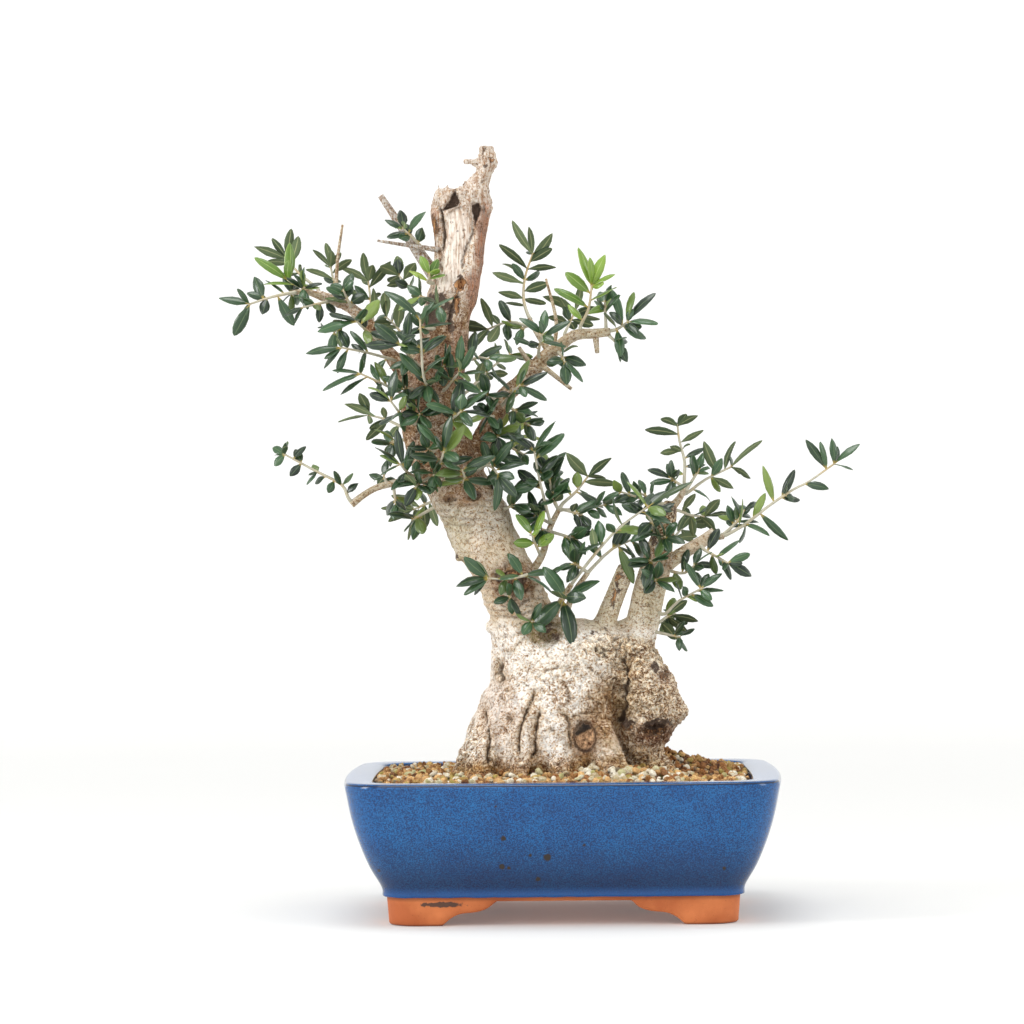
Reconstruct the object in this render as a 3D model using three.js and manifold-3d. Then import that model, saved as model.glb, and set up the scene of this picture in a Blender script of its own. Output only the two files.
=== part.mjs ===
// Wild olive bonsai in a glazed rectangular stoneware pot.
// Millimetres, +X to the right, +Y to the back, +Z up, z = 0 under the pot's feet.
// Everything is laid out from the middle of the pot; the last lines centre the whole tree.

import * as THREE from "three";
import { mergeVertices } from "three/addons/utils/BufferGeometryUtils.js";
import Module from "manifold-3d";

const wasm = await Module();
wasm.setup();

// ---- Driving dimensions ----

const GAP = 0.3; // clearance between pieces that touch
const MERGE = 1e-3; // vertices closer than this are one vertex

// The pot over its rim. Every other outline of it is given by how far it lies inside this one.
// Its corners are rounder and its sides more bulged the nearer an outline is to the rim.
// The middle of the pot lies at x from the middle of the tree.
const POT = {
  x: -1.5, halfWidth: 132.5, halfDepth: 108, corner: 25, cornerLoss: 0.3, bulge: 3.5, footInset: 28,
};
// Outside of the pot from the feet up to the rim: [height, inset].
const POT_OUTSIDE = [
  [0, 29.6], [1.5, 28.1], [17.2, 26.6], [17.8, 24.1], [23, 23.3], [35, 15.7], [50, 8.9], [65, 3.9], [83, 0],
  [85.3, 0.9], [86, 3],
];
// Inside of the pot from the floor up to the mouth, under the flat rim that turns inwards.
const POT_INSIDE = [[26, 35.5], [36, 24.5], [52, 17], [76, 12], [78.5, 18], [92, 18.5]];
const RIM_UNDERSIDE = 76;
const FOOT_WALL = 13; // thickness of the foot ring
const FLOOR_UNDERSIDE = 15;
// The opening between two feet: its half width on the front and on the side, and the points
// [inwards, up] that its bracket-shaped edge curves through.
const FOOT_ARCH = { front: 72, side: 52, toe: [6, 7], shoulder: [14, 7.5], neck: [28, 8], top: [31, 14.5] };
const DRAIN = { x: 45, radius: 11, sides: 16 };
const SCREEN = { side: 36, thick: 1.2, hole: 12, holes: 2 };

// The soil: a level bed with mounds [x, y, height, spreadX, spreadY] against the stump. It is cut
// to the pot's inside from a block that ends this far within the rim's outline.
const SOIL = { bottom: 20, level: 83, inset: 8 };
const SOIL_MOUNDS = [
  [-8, -8, 5.5, 62, 52], [56, 14, 12, 20, 34], [30, -44, 4, 22, 12], [82, 30, 4, 16, 26],
];
// The granules: their grid step, how far they stand up, and what sets neighbours' draws apart.
const GRAIN = { step: 11, rise: 2, seedX: 6651, seedY: 2106 };

// Stacks of level rings: [height, left edge, right edge, middle in depth, half depth].
const STUMP = [
  [62, -50, 28, 2, 32], [88, -64, 37, 2, 44], [104, -62, 37, 2, 45], [122, -55, 37, 2, 44],
  [132, -51, 39, 2, 43], [142, -46, 42, 2, 41], [153, -45, 44, 2, 39], [163, -44, 42.5, 2, 36],
  [171, -41, 37, 2, 31], [176, -36, 26, 2, 24], [179.5, -26, 12, 2, 14],
];
const RIGHT_LOBE = [
  [88, 38, 54, -4, 16], [104, 34, 63, -4, 24], [113, 33, 67, -4, 27], [121.5, 30, 74, -4, 29],
  [131, 28, 71, -4, 30], [143, 26, 66.5, -3, 30], [156, 24, 57, -2, 26], [165, 24, 52, 0, 23],
  [171, 27, 46, 0, 16],
];
const TRUNK = [
  [155, -44, 3, 0, 29], [180, -45, -3, -2, 24], [190, -49, -8, -3, 22], [200, -52, -13, -4, 21],
  [211, -59, -17.5, -4, 20.5], [222, -67, -23, -4, 20], [236, -73, -29.5, -4, 20], [250, -80, -35, -3, 19.5],
  [262, -85, -44, -2, 19], [275, -92.5, -51, -1, 19], [290, -97, -57, 0, 18], [310, -98, -62, 1, 17.5],
  [330, -95, -60, 1, 16.5], [345, -88, -57, 1, 15.5], [362, -85, -56, 1, 15], [376, -83, -51, 0, 15],
  [392, -78, -48.5, 0, 14.5], [412, -77, -45.5, 0, 14], [431, -79.5, -42.5, 0, 13.5], [443, -76, -44, 0, 11],
];
const SPIKE = [
  [428, -58, -43, -1, 9], [440, -59.5, -43, -1, 8.5], [447, -57, -43, -1, 7], [453, -52, -41, -1, 6],
  [460, -50, -38.5, -1, 5.5], [469.5, -49, -40.5, -1, 3.8],
];

// Woody parts as rods: points on the middle line and a radius for each of them.
const ROOTS = [
  { at: [[-44, -12, 124], [-55, -18, 100], [-64, -22, 72]], r: [6, 8, 8], sides: 6 },
  { at: [[-40, -26, 116], [-50, -34, 92], [-58, -42, 70]], r: [7, 9, 8], sides: 6 },
  { at: [[-21, -37, 134], [-26, -40.5, 116], [-26, -43.5, 96], [-31, -50, 74]], r: [3, 5, 5.5, 5], sides: 6 },
  { at: [[-6, -36, 108], [-3, -42, 90], [0, -50, 70]], r: [6, 7.5, 7], sides: 6 },
  { at: [[20, -30, 116], [27, -37, 94], [36, -46, 70]], r: [8, 9, 7], sides: 6 },
  { at: [[42, -10, 106], [58, -16, 88], [76, -20, 70]], r: [9, 8, 5], sides: 6 },
  { at: [[26, 28, 114], [38, 39, 92], [52, 52, 70]], r: [8, 9, 7], sides: 6 },
  { at: [[-8, 38, 118], [-7, 44, 94], [-4, 54, 70]], r: [7, 9, 7], sides: 6 },
  { at: [[-36, 27, 118], [-46, 35, 94], [-58, 46, 70]], r: [8, 9, 7], sides: 6 },
];
const STEMS = [
  { name: "cut stub", sides: 7, r: [8, 7, 6, 5.6],
    at: [[19, -2, 160], [24, -2, 174], [31, -2, 192], [39, -2, 211]] },
  { name: "second stem", sides: 9, r: [11, 10.2, 10, 9.4, 8, 6.8, 5],
    at: [[42, 2, 156], [48, 2, 176], [52, 2, 194], [57, 2, 212], [60, 2, 226], [64, 2, 240], [66, 2, 251]] },
];
const BRANCHES = [
  { name: "right cut branch", at: [[54, -2, 204], [70, -6, 217], [85, -8, 226], [93, -9, 231.5]],
    r: [5, 4.4, 4, 3.8], sides: 6 },
  { name: "right cut branch spur", at: [[82, -8, 224], [92, -9.5, 228], [98, -9, 229]], r: [2.4, 1.9, 1.7] },
  { name: "low left", r: [3.4, 2.3, 2, 2, 2.3],
    at: [[-84, -4, 266], [-100, -6, 264], [-113, -8, 261], [-122, -10, 256], [-129, -10, 250.5]] },
  { name: "upper left", r: [7, 5.2, 4.4, 4, 3.6, 3.2, 3], sides: 6,
    at: [[-90, 2, 326], [-100, 4, 336], [-107, 5, 345], [-118, 6, 360], [-130, 6, 372], [-140, 6, 376],
      [-151, 5, 381]] },
  { name: "upper left end", at: [[-146, 5, 378], [-156, 2, 381.5], [-164, -1, 381]], r: [2.4, 1.8, 1.4] },
  { name: "grey jin", at: [[-74, 2, 386], [-83, 2, 399], [-97, 3, 420], [-110, 4, 440]],
    r: [5, 4, 2.7, 1.9], sides: 5 },
  { name: "dead twig", at: [[-74, -3, 406], [-94, -4, 409], [-112, -4, 412]], r: [1.8, 1.2, 0.8] },
  { name: "spiny twig", at: [[-138, 7, 376], [-138, 9, 390], [-137, 10, 404], [-134, 10, 423]],
    r: [1.5, 1.2, 1, 0.7] },
  { name: "upper right", r: [9, 7.2, 6.2, 5.6, 5, 4.6, 4, 3.6, 3.2, 2.9], sides: 6,
    at: [[-60, 4, 268], [-51, 5, 285], [-43, 6, 302], [-33, 6, 318], [-22, 5, 328], [-12, 4, 338],
      [-3, 3, 345], [8, 2, 353], [20, 2, 354], [30.5, 1, 355]] },
  { name: "upper right peg", at: [[21, 2, 353], [22, 1, 342]], r: [2, 1.3] },
  { name: "dead shoot a", at: [[-5, 3, 343], [-3, 3, 362], [-9, 4, 388]], r: [1.4, 1.1, 0.7] },
  { name: "dead shoot b", at: [[-14, 4, 336], [-8, 0, 331.5], [6, -2, 320]], r: [2.2, 1.6, 1.1] },
  { name: "spur", at: [[-17, 4, 333], [-22, 1, 340], [-26, 0, 346]], r: [2, 1.5, 1.1] },
  { name: "middle shoot", r: [3, 2.4, 2.1, 1.8, 1.5],
    at: [[-26, -4, 203], [-17, -8, 212], [-12, -8, 221], [-8, -8, 235], [-2, -6, 247]] },
  { name: "top fork", at: [[-6, 4, 341], [-13, 5, 352], [-20, 5, 364]], r: [2.4, 1.9, 1.5] },
  { name: "stem fork", at: [[64, 2, 244], [71, 2, 252], [75, 2, 259]], r: [3, 2.2, 1.7] },
  { name: "crotch shoot a", at: [[-8, -16, 172], [-3, -20, 188], [5, -21, 201]], r: [2.4, 2, 1.6] },
  { name: "crotch shoot b", at: [[-1, -12, 172], [5, -15, 193], [15, -16, 208]], r: [2.2, 1.8, 1.5] },
  { name: "back limb", at: [[-74, 10, 262], [-76, 30, 276], [-84, 42, 292]], r: [5, 3.4, 2.2] },
  { name: "back limb high", at: [[-84, 10, 318], [-88, 24, 332], [-94, 36, 348]], r: [4.5, 3, 2] },
];

// Swellings [x, y, z, half width, half depth, half height] and hollows of the same kind.
const KNOBS = [
  [-30, -20, 205, 8, 6, 9], [-45, -2, 175, 3.5, 8, 4], [-64, -10, 217, 4, 5, 4], [-43, -8, 430.5, 2.5, 4, 3],
  [-57, -1, 460, 3.2, 2, 1.6], [70, -6, 122, 5, 8, 5], [13, -10, 173, 7, 8, 5], [38, 4, 172, 8, 8, 7],
];
const HOLLOWS = [
  [11, -43, 106.5, 5, 6, 8.5], [39, -33, 112.5, 7, 8, 3.6], [55, -30, 110.5, 9, 9, 3.2],
  [56, -31, 147, 4, 6, 5], [-8, -29, 173, 6, 7, 5], [-61, -14.5, 384, 3, 5, 4],
];
// Dark wedges rotted out of the broken top, as outlines [x, z] cut in from the front.
const WEDGES = [
  [[-69.5, 431.5], [-61, 432.5], [-64.5, 441.5]],
  [[-56.5, 431], [-53, 420], [-49.5, 428.5], [-50.5, 434], [-53, 436.5]],
];
const WEDGE_DEPTH = 7;
const TOP_FRONT = 14; // the trunk's front face at its top lies this far before its middle
// Splinters of the broken top: foot and tip, and their radii there.
const SPLINTER_RADII = [2.6, 0.6];
const SPLINTERS = [
  [[-75.5, -2, 436], [-74, -2, 446.5]], [[-69, -6, 436], [-68.5, -5, 447]],
  [[-62, -3, 438], [-61, -1, 446.5]], [[-70, 7, 436], [-72, 7, 445]], [[-60, 7, 438], [-58, 6, 449]],
];

// Leafy shoots. Each has the points of its twig, the tips [x, z] of the leaves that shape its outline,
// how many more leaves fill it, and the usual [length, width] of a leaf. A bare share of the twig
// at its foot carries none.
const SHOOTS = [
  { name: "upper_left_tip", twig: [[-166, -3, 380.5], [-178, -10, 377.5], [-190, -18, 373]], leaf: [20, 7],
    tips: [[-208, 378], [-187, 391], [-181, 389], [-199, 354], [-164, 360]], more: 0 },
  { name: "upper_left_young", twig: [[-157, 5, 383.5], [-163, 4, 386], [-168, 3, 389]], leaf: [23, 7],
    tips: [[-165, 412], [-188, 403], [-155, 386], [-153, 400], [-184, 386]], more: 0, young: true },
  { name: "upper_left_high", twig: [[-150, 8, 384], [-162, 18, 394], [-170, 26, 404]], leaf: [14, 6.5],
    tips: [[-179, 416], [-190, 411], [-162, 417], [-167, 422], [-182, 402]], more: 0 },
  { name: "upper_left_inner", twig: [[-133, 11, 377], [-140, 22, 388], [-143, 30, 399]], leaf: [15, 5.5],
    tips: [[-154, 409], [-145, 413], [-130, 403], [-158, 396], [-130, 391]], more: 1 },
  { name: "upper_left_under", twig: [[-142, -1, 375.5], [-150, -10, 373], [-157, -18, 371]], leaf: [14, 5],
    tips: [[-170, 366], [-162, 379], [-148, 362], [-139, 368]], more: 0 },
  { name: "crown_left_a", twig: [[-116, 12, 364], [-118, 26, 377], [-120, 36, 390]], leaf: [17, 6],
    tips: [[-136, 400], [-105, 401], [-113, 384], [-133, 385], [-124, 407]], more: 1 },
  { name: "crown_left_b", twig: [[-86, 14, 376], [-94, 24, 385], [-101, 32, 393]], leaf: [14, 7],
    tips: [[-112, 399], [-101, 405], [-90, 400], [-108, 386], [-90, 382]], more: 0 },
  { name: "crown_left_c", twig: [[-113, -1, 352], [-119, -16, 357], [-124, -28, 362]], leaf: [20, 8],
    tips: [[-148, 357], [-126, 345], [-110, 375], [-141, 368], [-100, 350]], more: 0 },
  { name: "crown_left_d", twig: [[-103, -2, 339], [-118, -16, 343], [-134, -28, 346]], leaf: [17, 5],
    tips: [[-155, 343], [-146, 335], [-137, 331], [-128, 357], [-116, 330]], more: 0 },
  { name: "crown_left_e", twig: [[-129, 1, 373], [-131, -4, 377], [-133, -7, 382]], leaf: [13, 7],
    tips: [[-143, 384], [-128, 393], [-145, 374], [-120, 380]], more: 0 },
  { name: "left_mid_a", twig: [[-97, -10, 318], [-109, -22, 324], [-122, -32, 330]], leaf: [18, 5],
    tips: [[-145, 321], [-134, 317], [-139, 332], [-112, 339], [-106, 315]], more: 0 },
  { name: "left_mid_b", twig: [[-98, 8, 298], [-109, 18, 303], [-120, 26, 306]], leaf: [17, 6],
    tips: [[-139, 302], [-125, 320], [-134, 314], [-122, 291], [-106, 292]], more: 0 },
  { name: "left_mid_c", twig: [[-91, -18, 300], [-98, -30, 306], [-103, -42, 313]], leaf: [18, 7],
    tips: [[-100, 332], [-90, 317], [-116, 322], [-112, 300], [-94, 294]], more: 0 },
  { name: "left_low_a", twig: [[-89, -16, 267], [-94, -28, 270], [-98, -38, 275]], leaf: [17, 6],
    tips: [[-112, 286], [-100, 296], [-91, 289], [-115, 267], [-84, 275], [-104, 260]], more: 0 },
  { name: "left_low_b", twig: [[-78, 14, 253], [-86, 24, 250], [-93, 30, 247]], leaf: [17, 6.5],
    tips: [[-113, 248], [-109, 240], [-98, 229], [-86, 236], [-78, 237], [-106, 257]], more: 0 },
  { name: "left_branch", leaf: [10, 5], bare: 0.05,
    twig: [[-131, -11.5, 255], [-135, -12, 263], [-150, -12, 271], [-160, -13, 276.5], [-170, -14, 282]],
    tips: [[-168, 290], [-176, 275], [-166, 268], [-157, 287], [-152, 264], [-156, 263], [-177, 286],
      [-163, 285], [-139, 271], [-125, 264], [-143, 258], [-128, 270]], more: 1 },
  { name: "front_sprig", leaf: [21, 6.5], bare: 0.3,
    twig: [[-79, -19, 318], [-83, -36, 327], [-84, -44, 345], [-84.5, -46, 362]],
    tips: [[-104, 381], [-66, 377], [-66, 361], [-101, 356], [-70, 352], [-98, 341], [-71, 339]], more: 1 },
  { name: "front_high", twig: [[-71, -16, 320], [-66, -30, 325], [-61, -42, 330]], leaf: [18, 7],
    tips: [[-46, 330], [-52, 345], [-60, 352], [-48, 318], [-68, 343]], more: 1 },
  { name: "front_mid", twig: [[-72, -20, 298], [-66, -36, 302], [-60, -48, 306]], leaf: [20, 8],
    tips: [[-45, 320], [-80, 312], [-42, 305], [-60, 324], [-54, 290]], more: 1 },
  { name: "front_low_a", twig: [[-76, -20, 274], [-73, -36, 277], [-71, -46, 282]], leaf: [21, 8],
    tips: [[-87, 299], [-58, 297], [-91, 280], [-56, 284], [-66, 303]], more: 0 },
  { name: "front_low_b", twig: [[-60, -21, 263], [-59, -34, 266], [-60, -44, 271]], leaf: [20, 8],
    tips: [[-84, 262], [-40, 279], [-52, 253], [-41, 264], [-76, 270]], more: 0 },
  { name: "front_low_c", twig: [[-47, -15, 274], [-42, -28, 272], [-39, -38, 268]], leaf: [19, 7],
    tips: [[-40, 246], [-22, 276], [-28, 254], [-50, 256], [-30, 287]], more: 0 },
  { name: "middle_left", twig: [[-86, -16, 334], [-92, -30, 340], [-97, -40, 347]], leaf: [18, 7],
    tips: [[-112, 360], [-90, 368], [-118, 346], [-80, 352], [-104, 333]], more: 1 },
  { name: "branch_front_a", twig: [[-36, -3, 311], [-31, -18, 317], [-25, -30, 322]], leaf: [17, 6],
    tips: [[-42, 331], [-8, 329], [-34, 305], [-9, 312], [-20, 338]], more: 0 },
  { name: "branch_front_b", twig: [[-44, 13, 296], [-36, 24, 294], [-28, 32, 292]], leaf: [15, 6],
    tips: [[-20, 305], [-44, 281], [-13, 290], [-34, 308], [-26, 278]], more: 0, young: true },
  { name: "middle_fork", leaf: [18, 7], more: 1,
    twig: [[-8, -11.5, 240], [-12, -16, 256], [-15, -20, 270], [-17, -22, 283]],
    tips: [[-5, 301], [1, 293], [-32, 296], [-4, 280], [-28, 270], [-30, 258], [2, 262], [-27, 246]] },
  { name: "middle_end", twig: [[0, -5.5, 250], [8, 2, 257], [16, 12, 267]], leaf: [17, 6.5],
    tips: [[2, 281], [30, 278], [25, 247], [34, 262], [-2, 268]], more: 0 },
  { name: "middle_low", twig: [[-14, -11.5, 219], [-17, -20, 226], [-19, -28, 232]], leaf: [14, 7],
    tips: [[-28, 244], [-12, 246], [-30, 227], [-6, 232]], more: 0, young: true },
  { name: "crotch_a", leaf: [20, 7], bare: 0.2,
    twig: [[6.5, -21, 203], [20, -28, 220], [34, -34, 235], [52, -38, 248]],
    tips: [[39, 263], [78, 264], [66, 240], [30, 253], [60, 262], [22, 240], [7, 222], [50, 234], [12, 238]],
    more: 1 },
  { name: "crotch_b", leaf: [19, 7], bare: 0.25,
    twig: [[17, -16, 210], [30, -10, 222], [46, -2, 229]],
    tips: [[46, 211], [58, 216], [44, 201], [62, 235], [40, 240], [16, 226]], more: 0 },
  { name: "crotch_leaves", twig: [[-1, -23.5, 190], [0, -26, 192], [1, -27.5, 194]], leaf: [29, 11],
    tips: [[5, 163], [-20, 175]], more: 0, bare: 0.4 },
  { name: "trunk_front", leaf: [18, 6.5], bare: 0.1,
    twig: [[-22, -26.5, 207], [-34, -30.5, 204.5], [-46, -33, 205.5]],
    tips: [[-61, 217], [-65, 201], [-34, 217], [-27, 208], [-25, 193], [-60, 195], [-5, 198], [-6, 209]],
    more: 0 },
  { name: "crown_right_high", leaf: [17, 6], bare: 0.15,
    twig: [[-20.5, 5, 366.5], [-23, 10, 376], [-22, 16, 390], [-17, 20, 405]],
    tips: [[-31, 424], [-22, 421], [-8, 419], [-37, 411], [-5, 409], [-3, 397], [-36, 399], [-42, 393],
      [-8, 386], [-38, 381], [-34, 375], [-10, 374]], more: 0 },
  { name: "crown_right_young", twig: [[12, 1, 359], [17, -6, 369], [19, -14, 383]], leaf: [17, 6.5],
    tips: [[11, 406], [19, 399], [26, 402], [33, 392], [34, 382], [3, 391], [-3, 383], [4, 372], [30, 371]],
    more: 0, young: true },
  { name: "crown_right_end", twig: [[33, 0.5, 356], [37, -3, 358], [41, -8, 361]], leaf: [17, 6.5],
    tips: [[58, 378], [59, 361], [52, 350], [37, 340], [32, 381], [44, 379], [27, 367]], more: 0 },
  { name: "crown_right_core", twig: [[2, 8, 354], [5, 20, 361], [9, 32, 370]], leaf: [15, 6.5],
    tips: [[-10, 381], [13, 386], [22, 372], [-8, 366], [20, 360], [0, 378], [24, 364]], more: 0 },
  { name: "crown_right_left", twig: [[-14, -1.5, 341], [-13, -16, 347], [-11, -28, 353]], leaf: [16, 6],
    tips: [[-9, 368], [5, 362], [-29, 351], [3, 346], [-24, 364]], more: 0 },
  { name: "crown_right_hanging", twig: [[-1, -2, 341.5], [1, -12, 339], [2, -20, 336]], leaf: [14, 7],
    tips: [[3, 322], [-10, 336], [11, 322], [10, 346], [15, 334]], more: 0 },
  { name: "crown_gap_twig", twig: [[-20, 2, 359], [-32, 7, 362], [-46, 13, 357.5]], leaf: [18, 7],
    tips: [[-49, 377], [-68, 361], [-56, 346], [-32, 350], [-36, 374]], more: 0, bare: 0.4 },
  { name: "crown_gap_low", twig: [[-56, -17, 338], [-50, -26, 339], [-44, -32, 338]], leaf: [17, 7],
    tips: [[-52, 356], [-27, 339], [-38, 325], [-36, 346]], more: 0 },
  { name: "jin_shoot", twig: [[-86, -2.5, 409], [-91, -8, 414], [-96, -14, 419]], leaf: [12, 7],
    tips: [[-107, 424], [-97, 430], [-83, 430], [-106, 414], [-84, 420]], more: 0 },
  { name: "jin_foot", twig: [[-81, -9, 386], [-80, -13, 388], [-79.5, -15, 391]], leaf: [12, 5],
    tips: [[-85, 402], [-75, 400], [-92, 394], [-70, 390]], more: 0, young: true },
  { name: "right_top", twig: [[74.5, 0.5, 263], [75, 6, 275], [72, 10, 288], [71, 12, 298]], leaf: [15, 5.5],
    tips: [[61, 302], [83, 305], [51, 296], [87, 294], [87, 284], [60, 281], [64, 268], [88, 273]], more: 0 },
  { name: "right_upper", twig: [[76, 4.5, 255.5], [88, 12, 264], [105, 22, 272]], leaf: [18, 6],
    tips: [[86, 287], [105, 288], [121, 290], [116, 265], [105, 258], [92, 252]], more: 0 },
  { name: "right_long", leaf: [17, 5.5], bare: 0.1,
    twig: [[100, -9, 230], [112, -12, 237], [125, -14, 247], [140, -15, 257], [150, -15, 262],
      [166, -14, 273]],
    tips: [[181, 285], [168, 288], [149, 288], [159, 286], [142, 269], [122, 272], [145, 251], [124, 255],
      [110, 251], [137, 226], [125, 229], [161, 258], [108, 224]], more: 0 },
  { name: "right_middle", twig: [[71, 6, 245], [79, 18, 242], [88, 30, 241]], leaf: [16, 6],
    tips: [[97, 252], [105, 243], [82, 255], [97, 230], [81, 229], [70, 232]], more: 0 },
  { name: "right_cluster", twig: [[86, -13.5, 221], [93, -22, 217], [100, -30, 213]], leaf: [12, 6],
    tips: [[95, 234], [113, 219], [114, 205], [102, 203], [92, 206], [107, 227]], more: 0 },
  { name: "right_low_a", leaf: [14, 5.5], bare: 0.3,
    twig: [[62, -6, 182], [70, -16, 190], [84, -26, 198]],
    tips: [[74, 213], [96, 207], [97, 197], [91, 187], [68, 202]], more: 0 },
  { name: "right_low_b", twig: [[58, 6, 176], [64, 16, 180], [69, 24, 181]], leaf: [15, 7.5],
    tips: [[69, 166], [60, 168], [77, 170], [83, 177], [76, 190]], more: 0 },
  { name: "right_inner", twig: [[66, -7, 208], [74, -12, 207], [80, -18, 212]], leaf: [15, 6],
    tips: [[90, 220], [86, 199], [94, 211], [74, 222], [70, 197]], more: 0 },
  { name: "stem_front", twig: [[56, -10, 232], [54, -22, 238], [51, -32, 243]], leaf: [17, 7],
    tips: [[68, 250], [36, 250], [60, 226], [42, 228]], more: 1 },
  { name: "back_low", twig: [[-80, 44, 294], [-76, 50, 303], [-68, 54, 312]], leaf: [18, 7],
    tips: [], more: 8 },
  { name: "back_high", twig: [[-96, 39, 350], [-102, 44, 360], [-110, 48, 368]], leaf: [18, 7],
    tips: [], more: 8 },
  { name: "back_middle", twig: [[-61, 19, 318], [-53, 34, 326], [-43, 46, 336], [-32, 54, 344]],
    leaf: [18, 7], tips: [], more: 8 },
  { name: "back_right", twig: [[58, 13, 214], [64, 26, 222], [72, 38, 232], [80, 47, 238]],
    leaf: [17, 7], tips: [], more: 8 },
];
const NODE_SPACING = 6; // distance between two pairs of leaves on a twig
const TWIG = { foot: 1.3, tip: 0.85, sides: 3 };
const BARE_FOOT = 0.12;
const BUD = 1; // the last pair of leaves stands this far below the twig's end
// A leaf's outline: [share of the length, share of the half width], and its thickness and arch,
// and how far its root lies off the middle of the twig.
const LEAF_OUTLINE = [[1, 0], [0.68, 0.82], [0.3, 0.94], [0, 0], [0.3, -0.94], [0.68, -0.82]];
const LEAF = { halfThick: 0.55, arch: 0.05, ridge: 0.48, root: 0.2 };
// A leaf is at least this share of the usual length or width, and at most as much again as spread.
const LEAF_SIZE = { least: 0.85, spread: 0.3 };
// Where a leaf with a given tip grows: it shows this share of its length, and these weigh how far
// it would point back along the twig and how many leaves grow there already.
const ROOTING = { shown: 0.93, backwards: 8, crowded: 2.5, deepest: 0.8 };
// The leaves that fill a shoot: their size, how they lean away from the twig and how they are
// turned round it, in radians.
const FILL = { least: 0.65, spread: 0.35, lean: 0.7, leanSpread: 0.5, turnSpread: 0.9 };
// A leaf's face looks outwards from this depth and upwards, by at least these shares.
const FACE = { middle: 8, outwards: 0.15, upwards: 0.2 };
// Ways in which a leaf is turned to clear its neighbours: sideways, up or down, and shortened.
const BENDS = [
  [0, 0, 1], [0.22, 0, 1], [-0.22, 0, 1], [0, 0.25, 1], [0, -0.25, 1], [0.45, 0, 1], [-0.45, 0, 1],
  [0, 0.5, 1], [0, -0.5, 1], [0.3, 0.4, 0.85], [-0.3, 0.4, 0.85], [0.3, -0.4, 0.85], [-0.3, -0.4, 0.85],
  [0, 0, 0.7], [0.5, 0, 0.7], [-0.5, 0, 0.7], [0, 0.6, 0.7], [0, -0.6, 0.7], [0.8, 0, 0.7], [-0.8, 0, 0.7],
  [0, 0.9, 0.6], [0, -0.9, 0.6],
];

// ---- Solids ----

// A closed geometry as a solid that can be joined and cut.
function toSolid(geometry) {
  const bare = new THREE.BufferGeometry();
  bare.setAttribute("position", geometry.getAttribute("position"));
  bare.setIndex(geometry.getIndex());
  const merged = mergeVertices(bare, MERGE);
  const triVerts = new Uint32Array(merged.index.array);
  return new wasm.Manifold(
    new wasm.Mesh({ numProp: 3, vertProperties: merged.attributes.position.array, triVerts }),
  );
}

// A solid as a named mesh.
function toMesh(name, solid, material) {
  const { vertProperties, triVerts } = solid.getMesh();
  const geometry = new THREE.BufferGeometry();
  geometry.setAttribute("position", new THREE.BufferAttribute(new Float32Array(vertProperties), 3));
  geometry.setIndex(new THREE.BufferAttribute(new Uint32Array(triVerts), 1));
  const mesh = new THREE.Mesh(geometry, material);
  mesh.name = name;
  return mesh;
}

// A closed skin over a stack of rings. place(point, ring, angle, reach) sets a point of it;
// reach is 1 on a ring and 0 in the middle of a cap.
function skin(sides, rings, place) {
  const geometry = new THREE.CylinderGeometry(1, 1, 1, sides, rings - 1);
  const position = geometry.attributes.position;
  const point = new THREE.Vector3();
  for (let i = 0; i < position.count; i++) {
    const ring = Math.round((position.getY(i) + 0.5) * (rings - 1));
    const [sine, cosine] = [position.getX(i), position.getZ(i)];
    place(point, ring, Math.atan2(sine, cosine), Math.hypot(sine, cosine));
    position.setXYZ(i, point.x, point.y, point.z);
  }
  return toSolid(geometry);
}

// A solid's box.
function boxOf(solid) {
  const { min, max } = solid.boundingBox();
  return new THREE.Box3(new THREE.Vector3(...min), new THREE.Vector3(...max));
}

// The largest of a solid's separate bodies.
function largestBody(solid) {
  return solid.decompose().reduce((a, b) => (b.volume() > a.volume() ? b : a));
}

// ---- Pot ----

const CORNER_STEPS = 3;
const SIDE_STEPS = 2;
const BLOCK = CORNER_STEPS + SIDE_STEPS; // plan points from one corner to the next
const QUADRANTS = [[1, 1], [-1, 1], [-1, -1], [1, -1]];

// A point of the pot's plan: a rounded rectangle with slightly bulged sides, inset from the rim.
function planPoint(step, inset) {
  const block = Math.floor(step / BLOCK) % 4;
  const within = step % BLOCK;
  const bulge = POT.bulge * Math.max(0, 1 - inset / POT.footInset);
  const corner = POT.corner - POT.cornerLoss * inset;
  const cornerAt = (index, angle) => [
    QUADRANTS[index][0] * (POT.halfWidth - inset - bulge - corner) + corner * Math.cos(angle),
    QUADRANTS[index][1] * (POT.halfDepth - inset - bulge - corner) + corner * Math.sin(angle),
  ];
  const start = (block * Math.PI) / 2;
  const end = start + Math.PI / 2;
  if (within <= CORNER_STEPS) return cornerAt(block, start + (within / CORNER_STEPS) * (Math.PI / 2));
  const along = (within - CORNER_STEPS) / SIDE_STEPS;
  const [from, to] = [cornerAt(block, end), cornerAt((block + 1) % 4, end)];
  const out = bulge * (1 - (2 * along - 1) ** 2);
  return [
    from[0] + (to[0] - from[0]) * along + out * Math.cos(end),
    from[1] + (to[1] - from[1]) * along + out * Math.sin(end),
  ];
}

// A stack of pot outlines [height, inset].
function potSkin(profile) {
  const steps = 4 * BLOCK;
  return skin(steps, profile.length, (point, ring, angle, reach) => {
    const [height, inset] = profile[ring];
    const step = (Math.round((angle / (2 * Math.PI)) * steps) + steps) % steps;
    const [x, y] = planPoint(step, inset);
    point.set(x * reach, y * reach, height);
  });
}

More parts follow.
